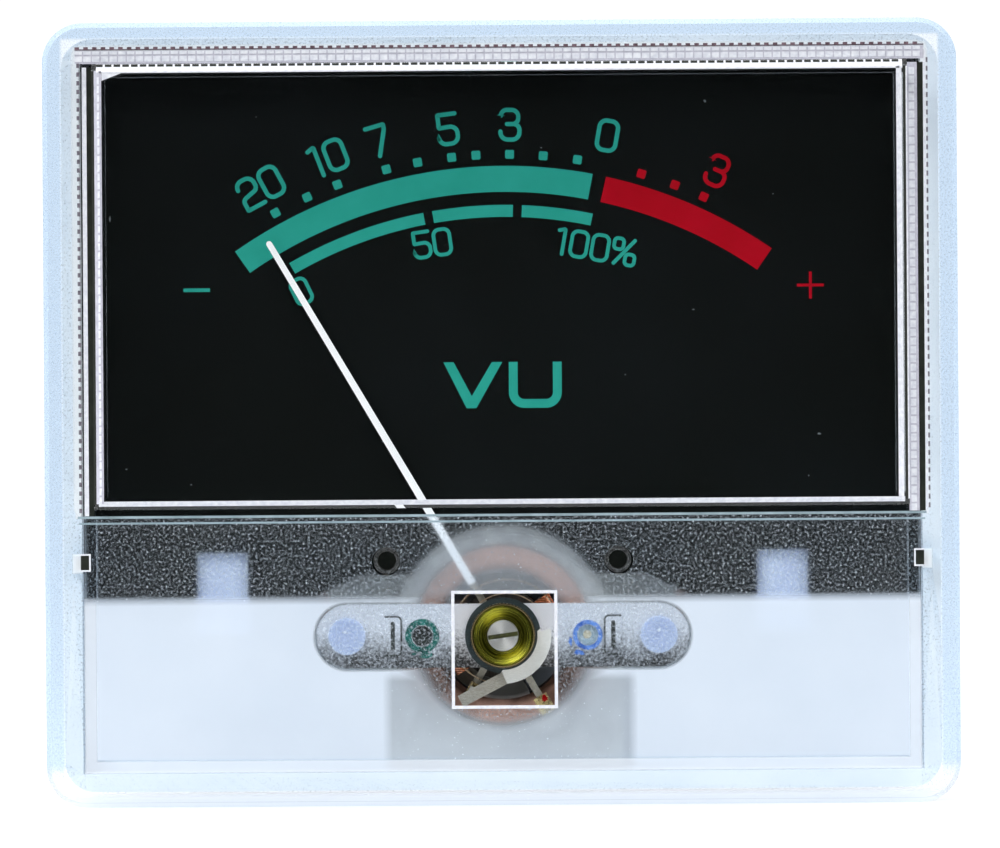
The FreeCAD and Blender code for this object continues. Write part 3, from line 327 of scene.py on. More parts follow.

# The frost: its pits and clouds, how rough and misty it is, its tints, and painted light over the dome, the
# rib and the flange's bottom
PIT_SIZE, CLOUD_SIZE, PIT_DEPTH = 0.25, 12.0, 0.003
FROST_ROUGH, FROST_HAZE, FROST_VEIL, DOME_LIGHTENING, SKIRT_LIGHTENING = (0.225, 0.275), 0.40, 0.88, 0.22, 0.55
PIT_FADE = (0.48, 0.72)
MISTY = (0, 0.5)
POLISHED_TINT, POLISHED_PASS, FROST_PASS = (0.985, 0.992, 1.0), (0.975, 0.985, 0.99), (0.93, 0.97, 1.0)
FROST_TINTS = ((0.86, 0.92, 0.99), (0.90, 0.95, 1.0))
VEIL_TINTS = ((0.80, 0.845, 0.91), (0.84, 0.88, 0.94))
EDGE_TINT, EDGE_TINT_LIGHTENED, EDGE_FADE = (0.60, 0.73, 0.88), (0.88, 0.90, 0.95), (-14.6, -12.6)
CASE_SOFT = 0.15


def frost_zone(across, up):
    """1 where the cover is frosted: not on its window, its small square or over the eyelets."""
    cover_high = box("front_cover")[1]
    rim_half = cover_high.x - RIM_SIDE
    window = between(across, -rim_half, rim_half) * between(up, RIM_LOW, cover_high.z - RIM_TOP)
    square = between(across, *LENS_SIDES) * between(up, *LENS_ENDS)
    peep = fall(distance(abs(across) - EYELET_RIGHT, up - EYELET_UP), *PEEP_FADE)
    return 1.0 - most(window, square, peep)


def shown_zone(across, up):
    """1 where something close behind the frost shows through it."""
    past_end = most(abs(across) - BAR_STRAIGHT, 0.0)
    bar = fall(distance(past_end, up), *BAR_FADE)
    leg = between(across, *LEG_SIDES, LEG_SOFT) * between(up, *LEG_ENDS, LEG_SOFT)
    ring = fall(distance(across, up), *RING_FADE)
    return most(rise(up, *FOOT_FADE), ring, bar, leg * LEG_SHOWS)


def skirt_zones(across, up):
    """1 outside the rib behind the flange, and 1 on the rib below the dial's foot, where painted light makes
    up for the case wall's shadow.
    """
    aside = abs(across)
    outside = most(rise(aside, SKIRT_SIDE - SKIRT_END, SKIRT_SIDE + SKIRT_END),
                   fall(up, SKIRT_LOW - SKIRT_END, SKIRT_LOW + SKIRT_END))
    wall = most(between(aside, SKIRT_SIDE - SKIRT_WALL, SKIRT_SIDE, SKIRT_SOFT),
                between(up, SKIRT_LOW, SKIRT_LOW + SKIRT_WALL, SKIRT_SOFT))
    return outside, wall * fall(up, *FOOT_FADE) * (1.0 - outside)


def frost_tint(across, up, clouds, misty):
    """The frost's colour: bluish on the flange and painted lighter towards its bottom edge over the shade
    behind it, paler where it is misty.
    """
    case_low, case_high = box("rear_case")
    before_case = between(across, case_low.x, case_high.x, CASE_SOFT)
    before_case = before_case * between(up, case_low.z, case_high.z, CASE_SOFT)
    edge = blended(fall(up, *EDGE_FADE), EDGE_TINT, EDGE_TINT_LIGHTENED)
    return blended(before_case, edge, blended(misty, tones(clouds, *FROST_TINTS), tones(clouds, *VEIL_TINTS)))


def pass_light(finish, frost):
    """Let shadow and diffuse rays straight through, so that light reaches what is inside."""
    passes = finish.tree.nodes.new("ShaderNodeBsdfTransparent")
    plug(blended(frost, POLISHED_PASS, FROST_PASS), passes.inputs["Color"])
    path = finish.tree.nodes.new("ShaderNodeLightPath")
    mix = finish.tree.nodes.new("ShaderNodeMixShader")
    plug(most(*(Field(finish.tree, path.outputs[ray]) for ray in ("Is Shadow Ray", "Is Diffuse Ray"))),
         mix.inputs["Fac"])
    finish.tree.links.new(finish.shader.outputs["BSDF"], mix.inputs[1])
    finish.tree.links.new(passes.outputs["BSDF"], mix.inputs[2])
    finish.tree.links.new(mix.outputs["Shader"], finish.output.inputs["Surface"])


def clear_cover():
    """One clear moulding: polished window and small square, elsewhere frosted on its rear faces."""
    finish = Finish("clear_cover", IOR=1.49, Specular_IOR_Level=0.2)
    across, depth, up = finish.position()
    here = finish.point()
    pits = noise(here, PIT_SIZE, detail=2.0, roughness=0.6)
    frost = frost_zone(across, up)
    rear = frost * rise(depth, *REAR_FADE)
    outside, skirt_light = skirt_zones(across, up)
    # Painted light on the flange's front over the rib, where the case wall shades it
    skirt_light = skirt_light * spread(depth, SKIRT_LIGHTENING, 0, *REAR_FADE)
    # Painted light: the frost is whitened over the shaded dome above the ring
    dome_light = fall(distance(across, up), *DOME_FADE) * rise(up, *DOME_FOOT)
    veil = spread(most(shown_zone(across, up), outside), FROST_VEIL, 0, 0, 1)
    veil = most(veil, dome_light * DOME_LIGHTENING)
    specks = spread(pits, 0, FROST_HAZE, *PIT_FADE)
    # Painted light: more white veil along the flange's bottom, over the floor's shade behind it
    under = spread(up, FROST_VEIL, 0, *UNDER_FADE)
    hazy = most(rear * most(specks, veil), skirt_light, rear * under)
    plug(1.0 - hazy, finish.shader.inputs["Transmission Weight"])
    tint = frost_tint(across, up, noise(here, CLOUD_SIZE), rise(most(veil, skirt_light), *MISTY))
    colour = blended(frost, POLISHED_TINT, tint)
    finish.dress(colour, rear * spread(pits, *FROST_ROUGH), rear * pits, PIT_DEPTH)
    pass_light(finish, frost)
    return finish.material


def dial_black():
    """Satin black paint with a bluish cast."""
    finish = Finish("dial_black", Specular_IOR_Level=0.06)
    here = finish.point()
    colour = tones(noise(here, 30.0, detail=2.0), (0.0025, 0.0035, 0.003), (0.0045, 0.006, 0.0065))
    return finish.dress(colour, spread(noise(here, 1.5), 0.45, 0.6), noise(here, 0.12), 0.003)


ZINC_CRYSTALS, ZINC_PATCHES = 1.3, 0.35
ZINC_HIGHLIGHT, ZINC_HIGHLIGHT_REACH, ZINC_TONES = (-0.26, 0.52), (-2.6, 3.1), (0.54, 1.0)


def zinc_plate():
    """Galvanised steel: fine crystals, grey pits and a painted highlight along the upper edge."""
    finish = Finish("zinc_plate", Metallic=0.65)
    here = finish.point()
    crystals = noise(here, 0.24, detail=4.0, roughness=0.8)
    patches = noise(here, 2.5, detail=2.0)
    # Painted highlight: lighter towards the bar's upper edge
    top_highlight = spread(finish.position()[2], *ZINC_HIGHLIGHT, *ZINC_HIGHLIGHT_REACH)
    shade = crystals * ZINC_CRYSTALS + patches * ZINC_PATCHES + top_highlight
    colour = tones(shade, (0.03, 0.03, 0.028), (0.98, 0.97, 1.0), *ZINC_TONES)
    return finish.dress(colour, spread(shade, 0.55, 0.32), crystals, 0.02)


# The ring: painted shade low on its sides, a painted highlight at its foot and painted shadow in its bore
COPPER_BASE, COPPER_SIDE_SHADE, COPPER_SIDE = 0.30, 0.75, (-5.0, 3.0)
COPPER_FOOT_HIGHLIGHT, COPPER_FOOT = 0.4, (-8.2, -7.0)
COPPER_BORE_SHADOW, COPPER_BORE = 0.6, (6.6, 7.4)
COPPER_OFF_AXIS = 0.1


def copper_plate():
    """Bright copper plating, with painted shade where it turns away from the light, a painted highlight at
    its foot and painted shadow in its bore.
    """
    finish = Finish("copper_plate", Metallic=0.7)
    across, _, up = finish.position()
    radius = distance(across, up)
    patches = noise(finish.point(), 2.2)
    # Painted shade: brown low on both sides, where the ring turns away from the light
    brown = abs(across) / (radius + COPPER_OFF_AXIS) * fall(up, *COPPER_SIDE)
    shade = patches + COPPER_BASE - brown * COPPER_SIDE_SHADE
    # Painted highlight at the foot, and painted shadow in the bore
    shade = shade + spread(up, COPPER_FOOT_HIGHLIGHT, 0, *COPPER_FOOT) - spread(radius, COPPER_BORE_SHADOW, 0, *COPPER_BORE)
    colour = tones(shade, (0.08, 0.035, 0.02), (0.82, 0.46, 0.34), 0.05, 0.95)
    return finish.dress(colour, spread(patches, 0.45, 0.3), patches, 0.02)


# Painted brown shade beside the ring, and painted shade on the hub inside the coil
SHADE_RING, SHADE_RING_SOFT = (6.5, 11.0), 0.8
SHADE_SIDE, SHADE_SIDE_SOFT, SHADE_SHARE = (-7.6, -2.4), 1.4, 0.85
HUB_FADE, HUB_SHADE = (6.2, 6.6), (0.045, 0.04, 0.032)


def beside_copper(name, **sockets):
    """Light grey with painted brown shade beside the ring low on both sides, and painted shade on the hub
    inside the coil.
    """
    finish = Finish(name, **sockets)
    across, _, up = finish.position()
    radius = distance(across, up)
    patches = noise(finish.point(), 1.6)
    grey = tones(patches, (0.36, 0.36, 0.34), (0.58, 0.58, 0.55))
    brown = tones(patches, (0.10, 0.06, 0.045), (0.34, 0.20, 0.15))
    # Painted shade, tinted brown, beside the ring low on both sides
    ring_shade = between(radius, *SHADE_RING, SHADE_RING_SOFT) * between(up, *SHADE_SIDE, SHADE_SIDE_SOFT)
    shaded_grey = blended(ring_shade * SHADE_SHARE, grey, brown)
    # Painted shade on the hub inside the coil
    colour = blended(fall(radius, *HUB_FADE), shaded_grey, HUB_SHADE)
    return finish.dress(colour, spread(patches, 0.35, 0.5), patches, 0.01)


TURN_PITCH, TURN_WAVER, TURN_DEPTH = 0.62, 0.25, 0.02


def wound_copper():
    """Fine enamelled turns side by side."""
    finish = Finish("wound_copper", Metallic=1.0, Coat_Weight=0.6)
    wave = finish.tree.nodes.new("ShaderNodeTexWave")
    wave.wave_profile = "SIN"
    wave.bands_direction = "Z"
    wave.inputs["Scale"].default_value = 1 / TURN_PITCH
    wave.inputs["Distortion"].default_value = TURN_WAVER
    plug(finish.point(), wave.inputs["Vector"])
    turns = Field(finish.tree, wave.outputs["Fac"])
    colour = tones(turns, (0.30, 0.08, 0.035), (0.80, 0.33, 0.16), 0.2, 0.9)
    return finish.dress(colour, spread(turns, 0.5, 0.25), turns, TURN_DEPTH)


def lamp_glass():
    """Clear glass with faint clouds."""
    finish = Finish("lamp_glass", Transmission_Weight=1.0, IOR=1.5)
    here = finish.point()
    colour = tones(noise(here, 1.0), (0.93, 0.93, 0.9), (1.0, 0.99, 0.96))
    return finish.dress(colour, spread(noise(here, 0.8), 0.0, 0.05))


CASE_BACK_SHADE_FADE = (0.6, 0.3)


def white_case():
    """White moulding with painted shade: its back wall is a tone darker on its outside."""
    finish = Finish("white_moulding")
    here = finish.point()
    clouds = noise(here, 7.0)
    back = box("rear_case")[1].y
    # Painted shade on the outside of the back wall
    outside = rise(finish.position()[1], *(back - inset for inset in CASE_BACK_SHADE_FADE))
    white = tones(clouds, (0.80, 0.83, 0.86), (0.86, 0.88, 0.90))
    shaded_back = tones(clouds, (0.52, 0.53, 0.545), (0.58, 0.59, 0.60))
    return finish.dress(blended(outside, white, shaded_back), spread(clouds, 0.35, 0.5), noise(here, 0.15), 0.004)


def lacquer(name, dark, light, lump=0.9):
    """Clear coated lacquer."""
    return moulded(name, dark, light, rough=(0.08, 0.2), lump=lump, Coat_Weight=0.6)


def printed(name, dark, light):
    """Screen printing ink."""
    return moulded(name, dark, light, rough=(0.4, 0.5), lump=3.0, grain=0.08, Specular_IOR_Level=0.1)


# Each finish has its name, its dark tone, its light tone and what else sets it apart
FINISHES = {
    "clear": clear_cover(),
    "white": white_case(),
    "frame": beside_copper("frame_moulding"),
    "dial": dial_black(),
    "zinc": zinc_plate(),
    "nylon": milky("nylon_pin", (0.40, 0.45, 0.62), (0.48, 0.53, 0.70)),
    "hood": milky("milky_hood", (0.54, 0.59, 0.76), (0.64, 0.69, 0.84)),
    "passivated": turned_metal("yellow_passivated", (0.09, 0.09, 0.010), (0.66, 0.62, 0.07),
                               rough=(0.18, 0.30), highlight_turn=-28.0, edge=(3.04, (0.60, 0.46, 0.25))),
    "nickel": drawn_metal("nickel", (0.68, 0.68, 0.67), (0.84, 0.84, 0.82), (0.16, 0.26), lump=0.25),
    "screw": turned_metal("turned_screw", (0.55, 0.56, 0.55), (1.0, 1.0, 0.98),
                          rough=(0.30, 0.42), highlight_turn=-25.0),
    "lever": lever_strip(),
    "strip": drawn_metal("bare_strip", (0.56, 0.54, 0.48), (0.78, 0.76, 0.70), (0.30, 0.42), lump=0.3),
    "bronze": drawn_metal("spring_bronze", (0.60, 0.42, 0.26), (0.80, 0.62, 0.42), (0.25, 0.4), lump=0.3),
    "arm": drawn_metal("cross_arm_strip", (0.42, 0.40, 0.33), (0.62, 0.59, 0.50), (0.3, 0.42), lump=0.3),
    "copper": copper_plate(),
    "winding": wound_copper(),
    "shield": beside_copper("shield_plate_grey", Metallic=0.2),
    "magnet": drawn_metal("ground_magnet", (0.03, 0.025, 0.02), (0.09, 0.08, 0.07), (0.35, 0.5),
                          stretch=(6, 1, 1)),
    "aluminium": drawn_metal("former_aluminium", (0.64, 0.64, 0.65), (0.84, 0.84, 0.85), (0.3, 0.45)),
    "steel": drawn_metal("polished_steel", (0.56, 0.56, 0.58), (0.78, 0.78, 0.80), (0.12, 0.22), lump=0.3),
    "brass": drawn_metal("turned_brass", (0.62, 0.44, 0.17), (0.86, 0.67, 0.32), lump=0.4),
    "ruby": moulded("ruby", (0.45, 0.01, 0.03), (0.70, 0.04, 0.08), (0.03, 0.1), lump=0.5,
                    Transmission_Weight=0.5, IOR=1.76),
    "pointer": moulded("pointer_paint", (0.93, 0.93, 0.94), (0.99, 0.99, 0.99), (0.4, 0.5), lump=2.0),
    "sleeve": moulded("black_sleeve", (0.01, 0.01, 0.01), (0.03, 0.03, 0.03), lump=0.5),
    "lamp": lamp_glass(),
    "socket": moulded("socket_moulding", (0.02, 0.02, 0.02), (0.05, 0.05, 0.05)),
    "green": printed("green_print", (0.020, 0.315, 0.245), (0.026, 0.345, 0.275)),
    "red": printed("red_print", (0.375, 0.0015, 0.009), (0.43, 0.002, 0.013)),
    # Painted highlights, reflections and shade for the thin pieces; the dark one also colours the tabs' real
    # cut lines, and the blue one also what shows in a trim hole
    "painted_highlight": moulded("painted_highlight", (0.66, 0.68, 0.76), (0.86, 0.88, 0.93), lump=0.5),
    "dark_cut_and_painted_shade": moulded("dark_cut_and_painted_shade", (0.010, 0.012, 0.010), (0.026, 0.030, 0.024), lump=1.5,
                         Specular_IOR_Level=0.15),
    "painted_lilac_reflection": moulded("painted_lilac_reflection", (0.48, 0.48, 0.57), (0.62, 0.62, 0.71), lump=0.5),
    "painted_dot_reflection": moulded("painted_dot_reflection", (0.09, 0.08, 0.10), (0.22, 0.20, 0.24), lump=0.5),
    "painted_mauve_reflection": moulded("painted_mauve_reflection", (0.07, 0.04, 0.05), (0.22, 0.14, 0.17), lump=0.5),
    "blue_and_painted_reflection": moulded("blue_and_painted_reflection", (0.22, 0.30, 0.34), (0.36, 0.46, 0.52), lump=2.0),
    "lacquer_green": lacquer("lacquer_green", (0.0, 0.050, 0.040), (0.004, 0.17, 0.13)),
    "lacquer_blue": lacquer("lacquer_blue", (0.02, 0.09, 0.40), (0.16, 0.34, 0.80)),
    "lacquer_red": lacquer("lacquer_red", (0.30, 0.001, 0.002), (0.42, 0.006, 0.006), lump=0.4),
    "slot_shade": moulded("slot_shade", (0.008, 0.008, 0.005), (0.16, 0.17, 0.03), lump=0.5),
    "beige": moulded("beige_dot", (0.44, 0.36, 0.22), (0.66, 0.58, 0.42), lump=0.3),
    "dust": moulded("dust", (0.16, 0.19, 0.20), (0.30, 0.34, 0.36), lump=0.3),
}

DRESS = {
    "front_cover": "clear", "rear_case": "white", "dial_plate": "dial", "dial_eyelets": "nickel",
    "pointer_stops": "sleeve", "front_bridge": "zinc", "rear_bridge": "zinc", "bridge_posts": "nylon",
    "shield_plate": "shield", "movement_frame": "frame", "yoke_ring": "copper", "core_magnet": "magnet",
    "front_jewel_screw": "screw", "rear_jewel_screw": "screw", "front_jewel": "ruby",
    "rear_jewel": "ruby", "lock_cup": "passivated", "rear_lock_nut": "nickel", "zero_lever": "lever",
    "rear_spring_anchor": "strip", "front_hairspring": "bronze", "rear_hairspring": "bronze",
    "coil_former": "aluminium", "coil_winding": "winding", "front_pivot": "steel",
    "rear_pivot": "steel", "balance_cross": "arm", "balance_weights": "brass",
    "pointer": "pointer", "terminal_studs": "brass", "terminal_washers": "nickel",
    "solder_tags": "nickel", "terminal_nuts": "nickel", "front_lead": "copper", "rear_lead": "copper",
    "lamp_hoods": "hood", "lamp_bulbs": "lamp", "lamp_sockets": "socket", "lamp_blades": "nickel",
}
SHARP_ANGLE = 32
FLAT_WEIGHT = 100


def dress_nodes():
    """Give each CAD node its finish and smooth shading with sharp edges."""
    for name, finish in DRESS.items():
        mesh = nodes[name].data
        mesh.materials.clear()
        mesh.materials.append(FINISHES[finish])
        mesh.shade_smooth()
        mesh.set_sharp_from_angle(angle=math.radians(SHARP_ANGLE))
        evened = nodes[name].modifiers.new("flat faces stay flat", "WEIGHTED_NORMAL")
        evened.weight = FLAT_WEIGHT
        evened.keep_sharp = True


# Drawn shapes: flat rings of points that face the viewer
SAME_POINT = 1e-5


def add_piece(name, shapes, finish, body="housing"):
    """A thin piece of shapes, each a ring of (across, back, up) points, turned to face the viewer."""
    build = bmesh.new()
    for face in shapes:
        area = sum(a[0] * b[2] - b[0] * a[2] for a, b in zip(face, face[1:] + face[:1]))
        ring = face if area > 0 else face[::-1]
        build.faces.new([build.verts.new((across * MM, back * MM, up * MM)) for across, back, up in ring])
    bmesh.ops.remove_doubles(build, verts=build.verts, dist=SAME_POINT * MM)
    mesh = bpy.data.meshes.new(name)
    build.to_mesh(mesh)
    build.free()
    mesh.materials.append(FINISHES[finish])
    piece = bpy.data.objects.new(name, mesh)
    bpy.context.scene.collection.objects.link(piece)
    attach(piece, body)


def at_depth(shapes, back):
    """Shapes of (across, up) points, set at one depth."""
    return [[(across, back, up) for across, up in face] for face in shapes]


def turned(point, degrees):
    """A flat point turned about the middle."""
    turn = math.radians(-degrees)
    return (point[0] * math.cos(turn) - point[1] * math.sin(turn),
            point[0] * math.sin(turn) + point[1] * math.cos(turn))


def polar(radius, degrees):
    """A point at a radius from the pivot."""
    turn = math.radians(degrees)
    return radius * math.sin(turn), radius * math.cos(turn)


def band(inner, outer, start, end, step=0.5):
    """A ring sector as quads."""
    count = max(2, round((end - start) / step))
    faces = []
    for index in range(count):
        first = start + (end - start) * index / count
        second = start + (end - start) * (index + 1) / count
        faces.append([polar(inner, first), polar(inner, second), polar(outer, second), polar(outer, first)])
    return faces


def ring_band(across, up, inner, outer):
    """A flat ring."""
    return [[(across + point[0], up + point[1]) for point in face]
            for face in band(inner, outer, 0, 360, step=10)]


def disc(across, up, radius, points=32):
    """A flat disc."""
    turns = [2 * math.pi * index / points for index in range(points)]
    return [[(across + radius * math.cos(turn), up + radius * math.sin(turn)) for turn in turns]]


def speck(across, up, wide, tall, points=9):
    """An uneven blot."""
    ring = []
    for index in range(points):
        turn = 2 * math.pi * index / points
        reach = random.uniform(0.6, 1.15) / 2
        ring.append((across + math.cos(turn) * wide * reach, up + math.sin(turn) * tall * reach))
    return ring


def rounded(points, closed=False, pieces=8):
    """A path through (across, up[, radius]) corners, with each corner that has a radius rounded."""
    count = len(points)
    path = []
    for index, point in enumerate(points):
        corner = Vector(point[:2])
        ends = not closed and index in (0, count - 1)
        if len(point) == 2 or ends:
            path.append(corner)
            continue
        back = (Vector(points[index - 1][:2]) - corner).normalized()
        ahead = (Vector(points[(index + 1) % count][:2]) - corner).normalized()
        half_turn = back.angle(ahead) / 2
        reach = point[2] / math.tan(half_turn)
        centre = corner + (back + ahead).normalized() * (point[2] / math.sin(half_turn))
        first = corner + back * reach - centre
        last = corner + ahead * reach - centre
        for step in range(pieces + 1):
            sweep = first.lerp(last, step / pieces).normalized() * point[2]
            path.append(centre + sweep)
    return path


def round_end(tip, inner, half, pieces=8):
    """A half disc over the end of a stroke."""
    way = (tip - inner).normalized()
    start = math.atan2(way.y, way.x) - math.pi / 2
    turns = [start + math.pi * step / pieces for step in range(pieces + 1)]
    return [tip + Vector((math.cos(turn), math.sin(turn))) * half for turn in turns]


SHARPEST = 0.5


def stroke(path, wide, closed=False, round_ends=True):
    """A pen stroke of a width along a path, as quads with half round ends."""
    path = [Vector(point) for point in path]
    half = wide / 2
    count = len(path)
    sides = []
    for index, point in enumerate(path):
        before = path[index - 1] if closed or index else None
        after = path[(index + 1) % count] if closed or index + 1 < count else None
        into = (point - before).normalized() if before is not None else None
        out = (after - point).normalized() if after is not None else None
        way = ((into or out) + (out or into)).normalized()
        square = Vector((-way.y, way.x))
        lean = abs(square.dot(Vector((-(into or out).y, (into or out).x))))
        square *= half / max(lean, SHARPEST)
        sides.append((point + square, point - square))
    faces = []
    for index in range(count if closed else count - 1):
        near, far = sides[index], sides[(index + 1) % count]
        faces.append([near[0], far[0], far[1], near[1]])
    if round_ends and not closed:
        faces.append(round_end(path[0], path[1], half))
        faces.append(round_end(path[-1], path[-2], half))
    return faces


# Rounded technical figures in a box one unit tall, as pen paths through corners
PEN = 0.125
GLYPHS = {
    "0": (0.72, [("closed", [(0.08, 0.07, 0.20), (0.62, 0.07, 0.20), (0.62, 0.93, 0.20),
                             (0.08, 0.93, 0.20)])]),
    "1": (0.44, [("open", [(0.06, 0.86), (0.26, 0.93, 0.03), (0.26, 0.07)])]),
    "2": (0.70, [("open", [(0.08, 0.72), (0.08, 0.93, 0.20), (0.60, 0.93, 0.21), (0.60, 0.52, 0.16),
                           (0.08, 0.40, 0.14), (0.08, 0.07, 0.02), (0.62, 0.07)])]),
    "3": (0.70, [("open", [(0.08, 0.76), (0.08, 0.93, 0.17), (0.58, 0.93, 0.19), (0.58, 0.52, 0.17),
                           (0.26, 0.52)]),
                 ("open", [(0.26, 0.52), (0.62, 0.52, 0.17), (0.62, 0.07, 0.21), (0.07, 0.07, 0.21),
                           (0.07, 0.30)])]),
    "5": (0.70, [("open", [(0.60, 0.93), (0.10, 0.93, 0.02), (0.10, 0.55, 0.02), (0.62, 0.57, 0.20),
                           (0.62, 0.07, 0.21), (0.07, 0.07, 0.21), (0.07, 0.27)])]),
    "7": (0.66, [("open", [(0.06, 0.93), (0.60, 0.93, 0.03), (0.58, 0.78, 0.08), (0.26, 0.07)])]),
    "%": (0.96, [("closed", [(0.08, 0.56, 0.12), (0.40, 0.56, 0.12), (0.40, 0.93, 0.12),
                             (0.08, 0.93, 0.12)]),
                 ("open", [(0.16, 0.07), (0.76, 0.93)]),
                 ("closed", [(0.52, 0.07, 0.12), (0.84, 0.07, 0.12), (0.84, 0.44, 0.12),
                             (0.52, 0.44, 0.12)])]),
}
STROKE_LIFT = 0.004


def write(text, across, up, tall, degrees, level):
    """Shapes of a line of figures, centred on a point and turned. Strokes lie a hair apart."""
    left = -sum(GLYPHS[letter][0] for letter in text) / 2
    shapes = []
    for letter in text:
        advance, paths = GLYPHS[letter]
        for layer, (kind, corners) in enumerate(paths):
            closed = kind == "closed"
            back = level - layer * STROKE_LIFT
            for face in stroke(rounded(corners, closed), PEN, closed):
                flat = [turned(((left + x) * tall, (y - 0.5) * tall), degrees) for x, y in face]
                shapes.append([(across + x, back, up + y) for x, y in flat])
        left += advance
    return shapes


# Scale: radii, spans in degrees, and figures as text, across, up, height and turn
MAIN_BAND, THIN_BAND = (44.4, 47.0), (41.9, 43.1)
GREEN_MAIN, RED_MAIN = (-34.8, 11.0), (12.65, 34.8)
GREEN_THIN = ((-29.8, -10.7), (-9.5, 1.3), (2.5, 12.0))
DOT_RADIUS, DOT_WIDE, DOT_CORNER = 48.15, 0.88, 0.16
GREEN_DOTS = (-28.2, -24.0, -20.1, -14.0, -10.2, -6.1, -3.2, 0.8, 4.8, 8.9)
RED_DOTS = (16.7, 20.9, 24.6)
TALL, TALL_SMALL = 3.45, 2.95
GREEN_FIGURES = (
    ("20", -24.2, 45.0, TALL, -28),
    ("10", -17.4, 47.95, TALL, -21),
    ("7", -12.45, 49.55, TALL, -16),
    ("5", -5.5, 50.7, TALL, -7),
    ("3", 0.75, 51.1, TALL, 1),
    ("0", 10.5, 49.95, TALL, 10),
    ("0", -20.2, 34.6, TALL_SMALL, -26),
    ("50", -7.1, 39.3, TALL_SMALL, -8),
    ("100%", 9.4, 38.8, TALL_SMALL, 10),
)
RED_FIGURES = (("3", 21.45, 46.35, TALL, 24),)
MINUS, MINUS_PEN = ((-32.0, 34.76), (-29.35, 34.76)), 0.36
PLUS, PLUS_ARM, PLUS_PEN = (30.65, 34.9), 1.35, 0.29
VEE = ((-6.07, 27.4), (-5.05, 27.4), (-3.25, 24.0), (-1.23, 27.4), (-0.19, 27.4), (-2.80, 22.8),
       (-3.78, 22.8))
VEE_FACES = ((0, 1, 2, 6), (2, 3, 4, 5), (6, 2, 5))
BOW, BOW_PEN = ((0.90, 27.4), (0.90, 23.24, 1.10), (5.30, 23.24, 1.10), (5.30, 27.4)), 0.88

# How thick paint is, and how the print sits on the plate
PAINT = 0.02
PRINT_TURN, PRINT_GROW, PRINT_RIGHT, PRINT_DROP = 0.04, 1.008, 0.29, 0.17


def dot(degrees):
    """A square scale mark with rounded corners."""
    half = DOT_WIDE / 2
    middle = polar(DOT_RADIUS, degrees)
    corners = [(x, y, DOT_CORNER) for x, y in ((-half, -half), (half, -half), (half, half), (-half, half))]
    flat = [turned(point, degrees) for point in rounded(corners, closed=True, pieces=5)]
    return [(middle[0] + x, middle[1] + y) for x, y in flat]


def settled(shapes):
    """Prints in their place on the plate: turned a little, and as large as they are at its depth."""
    placed = []
    for shape in shapes:
        ring = []
        for across, back, up in shape:
            x, y = turned((across, up), PRINT_TURN)
            ring.append((PRINT_GROW * x + PRINT_RIGHT, back, PRINT_GROW * y - PRINT_DROP))
        placed.append(ring)
    return placed


def plus_sign():
    """A plus as one bar across and two half bars."""
    middle, arm, half = Vector(PLUS), PLUS_ARM, PLUS_PEN / 2
    shapes = stroke([middle - Vector((arm, 0)), middle + Vector((arm, 0))], PLUS_PEN, round_ends=False)
    for way in (-1, 1):
        bar = [middle + Vector((0, half * way)), middle + Vector((0, arm * way))]
        shapes += stroke(bar, PLUS_PEN, round_ends=False)
    return shapes


def print_scale():
    """The printed scale, a hair in front of the dial plate."""
    level = box("dial_plate")[0].y - PAINT
    green = band(*MAIN_BAND, *GREEN_MAIN)
    for span in GREEN_THIN:
        green += band(*THIN_BAND, *span)
    green += [dot(degrees) for degrees in GREEN_DOTS]
    red = band(*MAIN_BAND, *RED_MAIN) + [dot(degrees) for degrees in RED_DOTS]
    letters = [[VEE[index] for index in face] for face in VEE_FACES]
    letters += stroke(rounded(BOW), BOW_PEN, round_ends=False)
    for name, shapes, finish in (
        ("scale_green", green, "green"),
        ("scale_red", red, "red"),
        ("sign_minus", stroke(MINUS, MINUS_PEN, round_ends=False), "green"),
        ("sign_plus", plus_sign(), "red"),
        ("letters_vu", letters, "green"),
    ):
        add_piece(name, settled(at_depth(shapes, level)), finish)
    for colour, lines in (("green", GREEN_FIGURES), ("red", RED_FIGURES)):
        figures = [shape for line in lines for shape in write(*line, level)]
        add_piece("figures_" + colour, settled(figures), colour)


# Dust on the dial: across, up, width and height
DUST = (
    (-39.3, 42.1, 0.22, 0.75), (20.7, 53.6, 0.28, 0.34), (19.4, 32.6, 0.30, 0.16), (32.0, 20.0, 0.42, 0.26),
    (12.5, 26.1, 0.18, 0.14), (-31.3, 15.3, 0.20, 0.14), (-37.8, 16.9, 0.24, 0.16), (4.2, 49.0, 0.16, 0.14),
    (27.5, 44.2, 0.15, 0.13), (-12.0, 19.5, 0.14, 0.12), (30.9, 15.8, 0.16, 0.16), (-24.5, 52.3, 0.15, 0.12),
)


def scatter_dust():
    """A few specks of dust on the dial."""
    specks = [speck(*place) for place in DUST]
    add_piece("dust_specks", at_depth(specks, box("dial_plate")[0].y - PAINT), "dust")


# Window border of painted reflections: where the pane ends and its bevel ends, how deep they are, and the
# strips' spans
STEPS = {"left": (39.8, 40.6), "right": (39.8, 40.6), "top": (56.5, 57.3), "foot": (13.7, 12.9)}
PANE_BEVEL, PANE_RISE = 0.8, 2.0
RIB_PITCH = 0.87
TRIM_LIFT = 0.03
RIM_SPAN, PANE_SPAN, DOT_SPAN = (12.3, 57.0), (13.5, 56.6), (12.6, 58.3)
RIM_REACH, PANE_REACH = (-42.3, 42.3), (-40.1, 40.1)
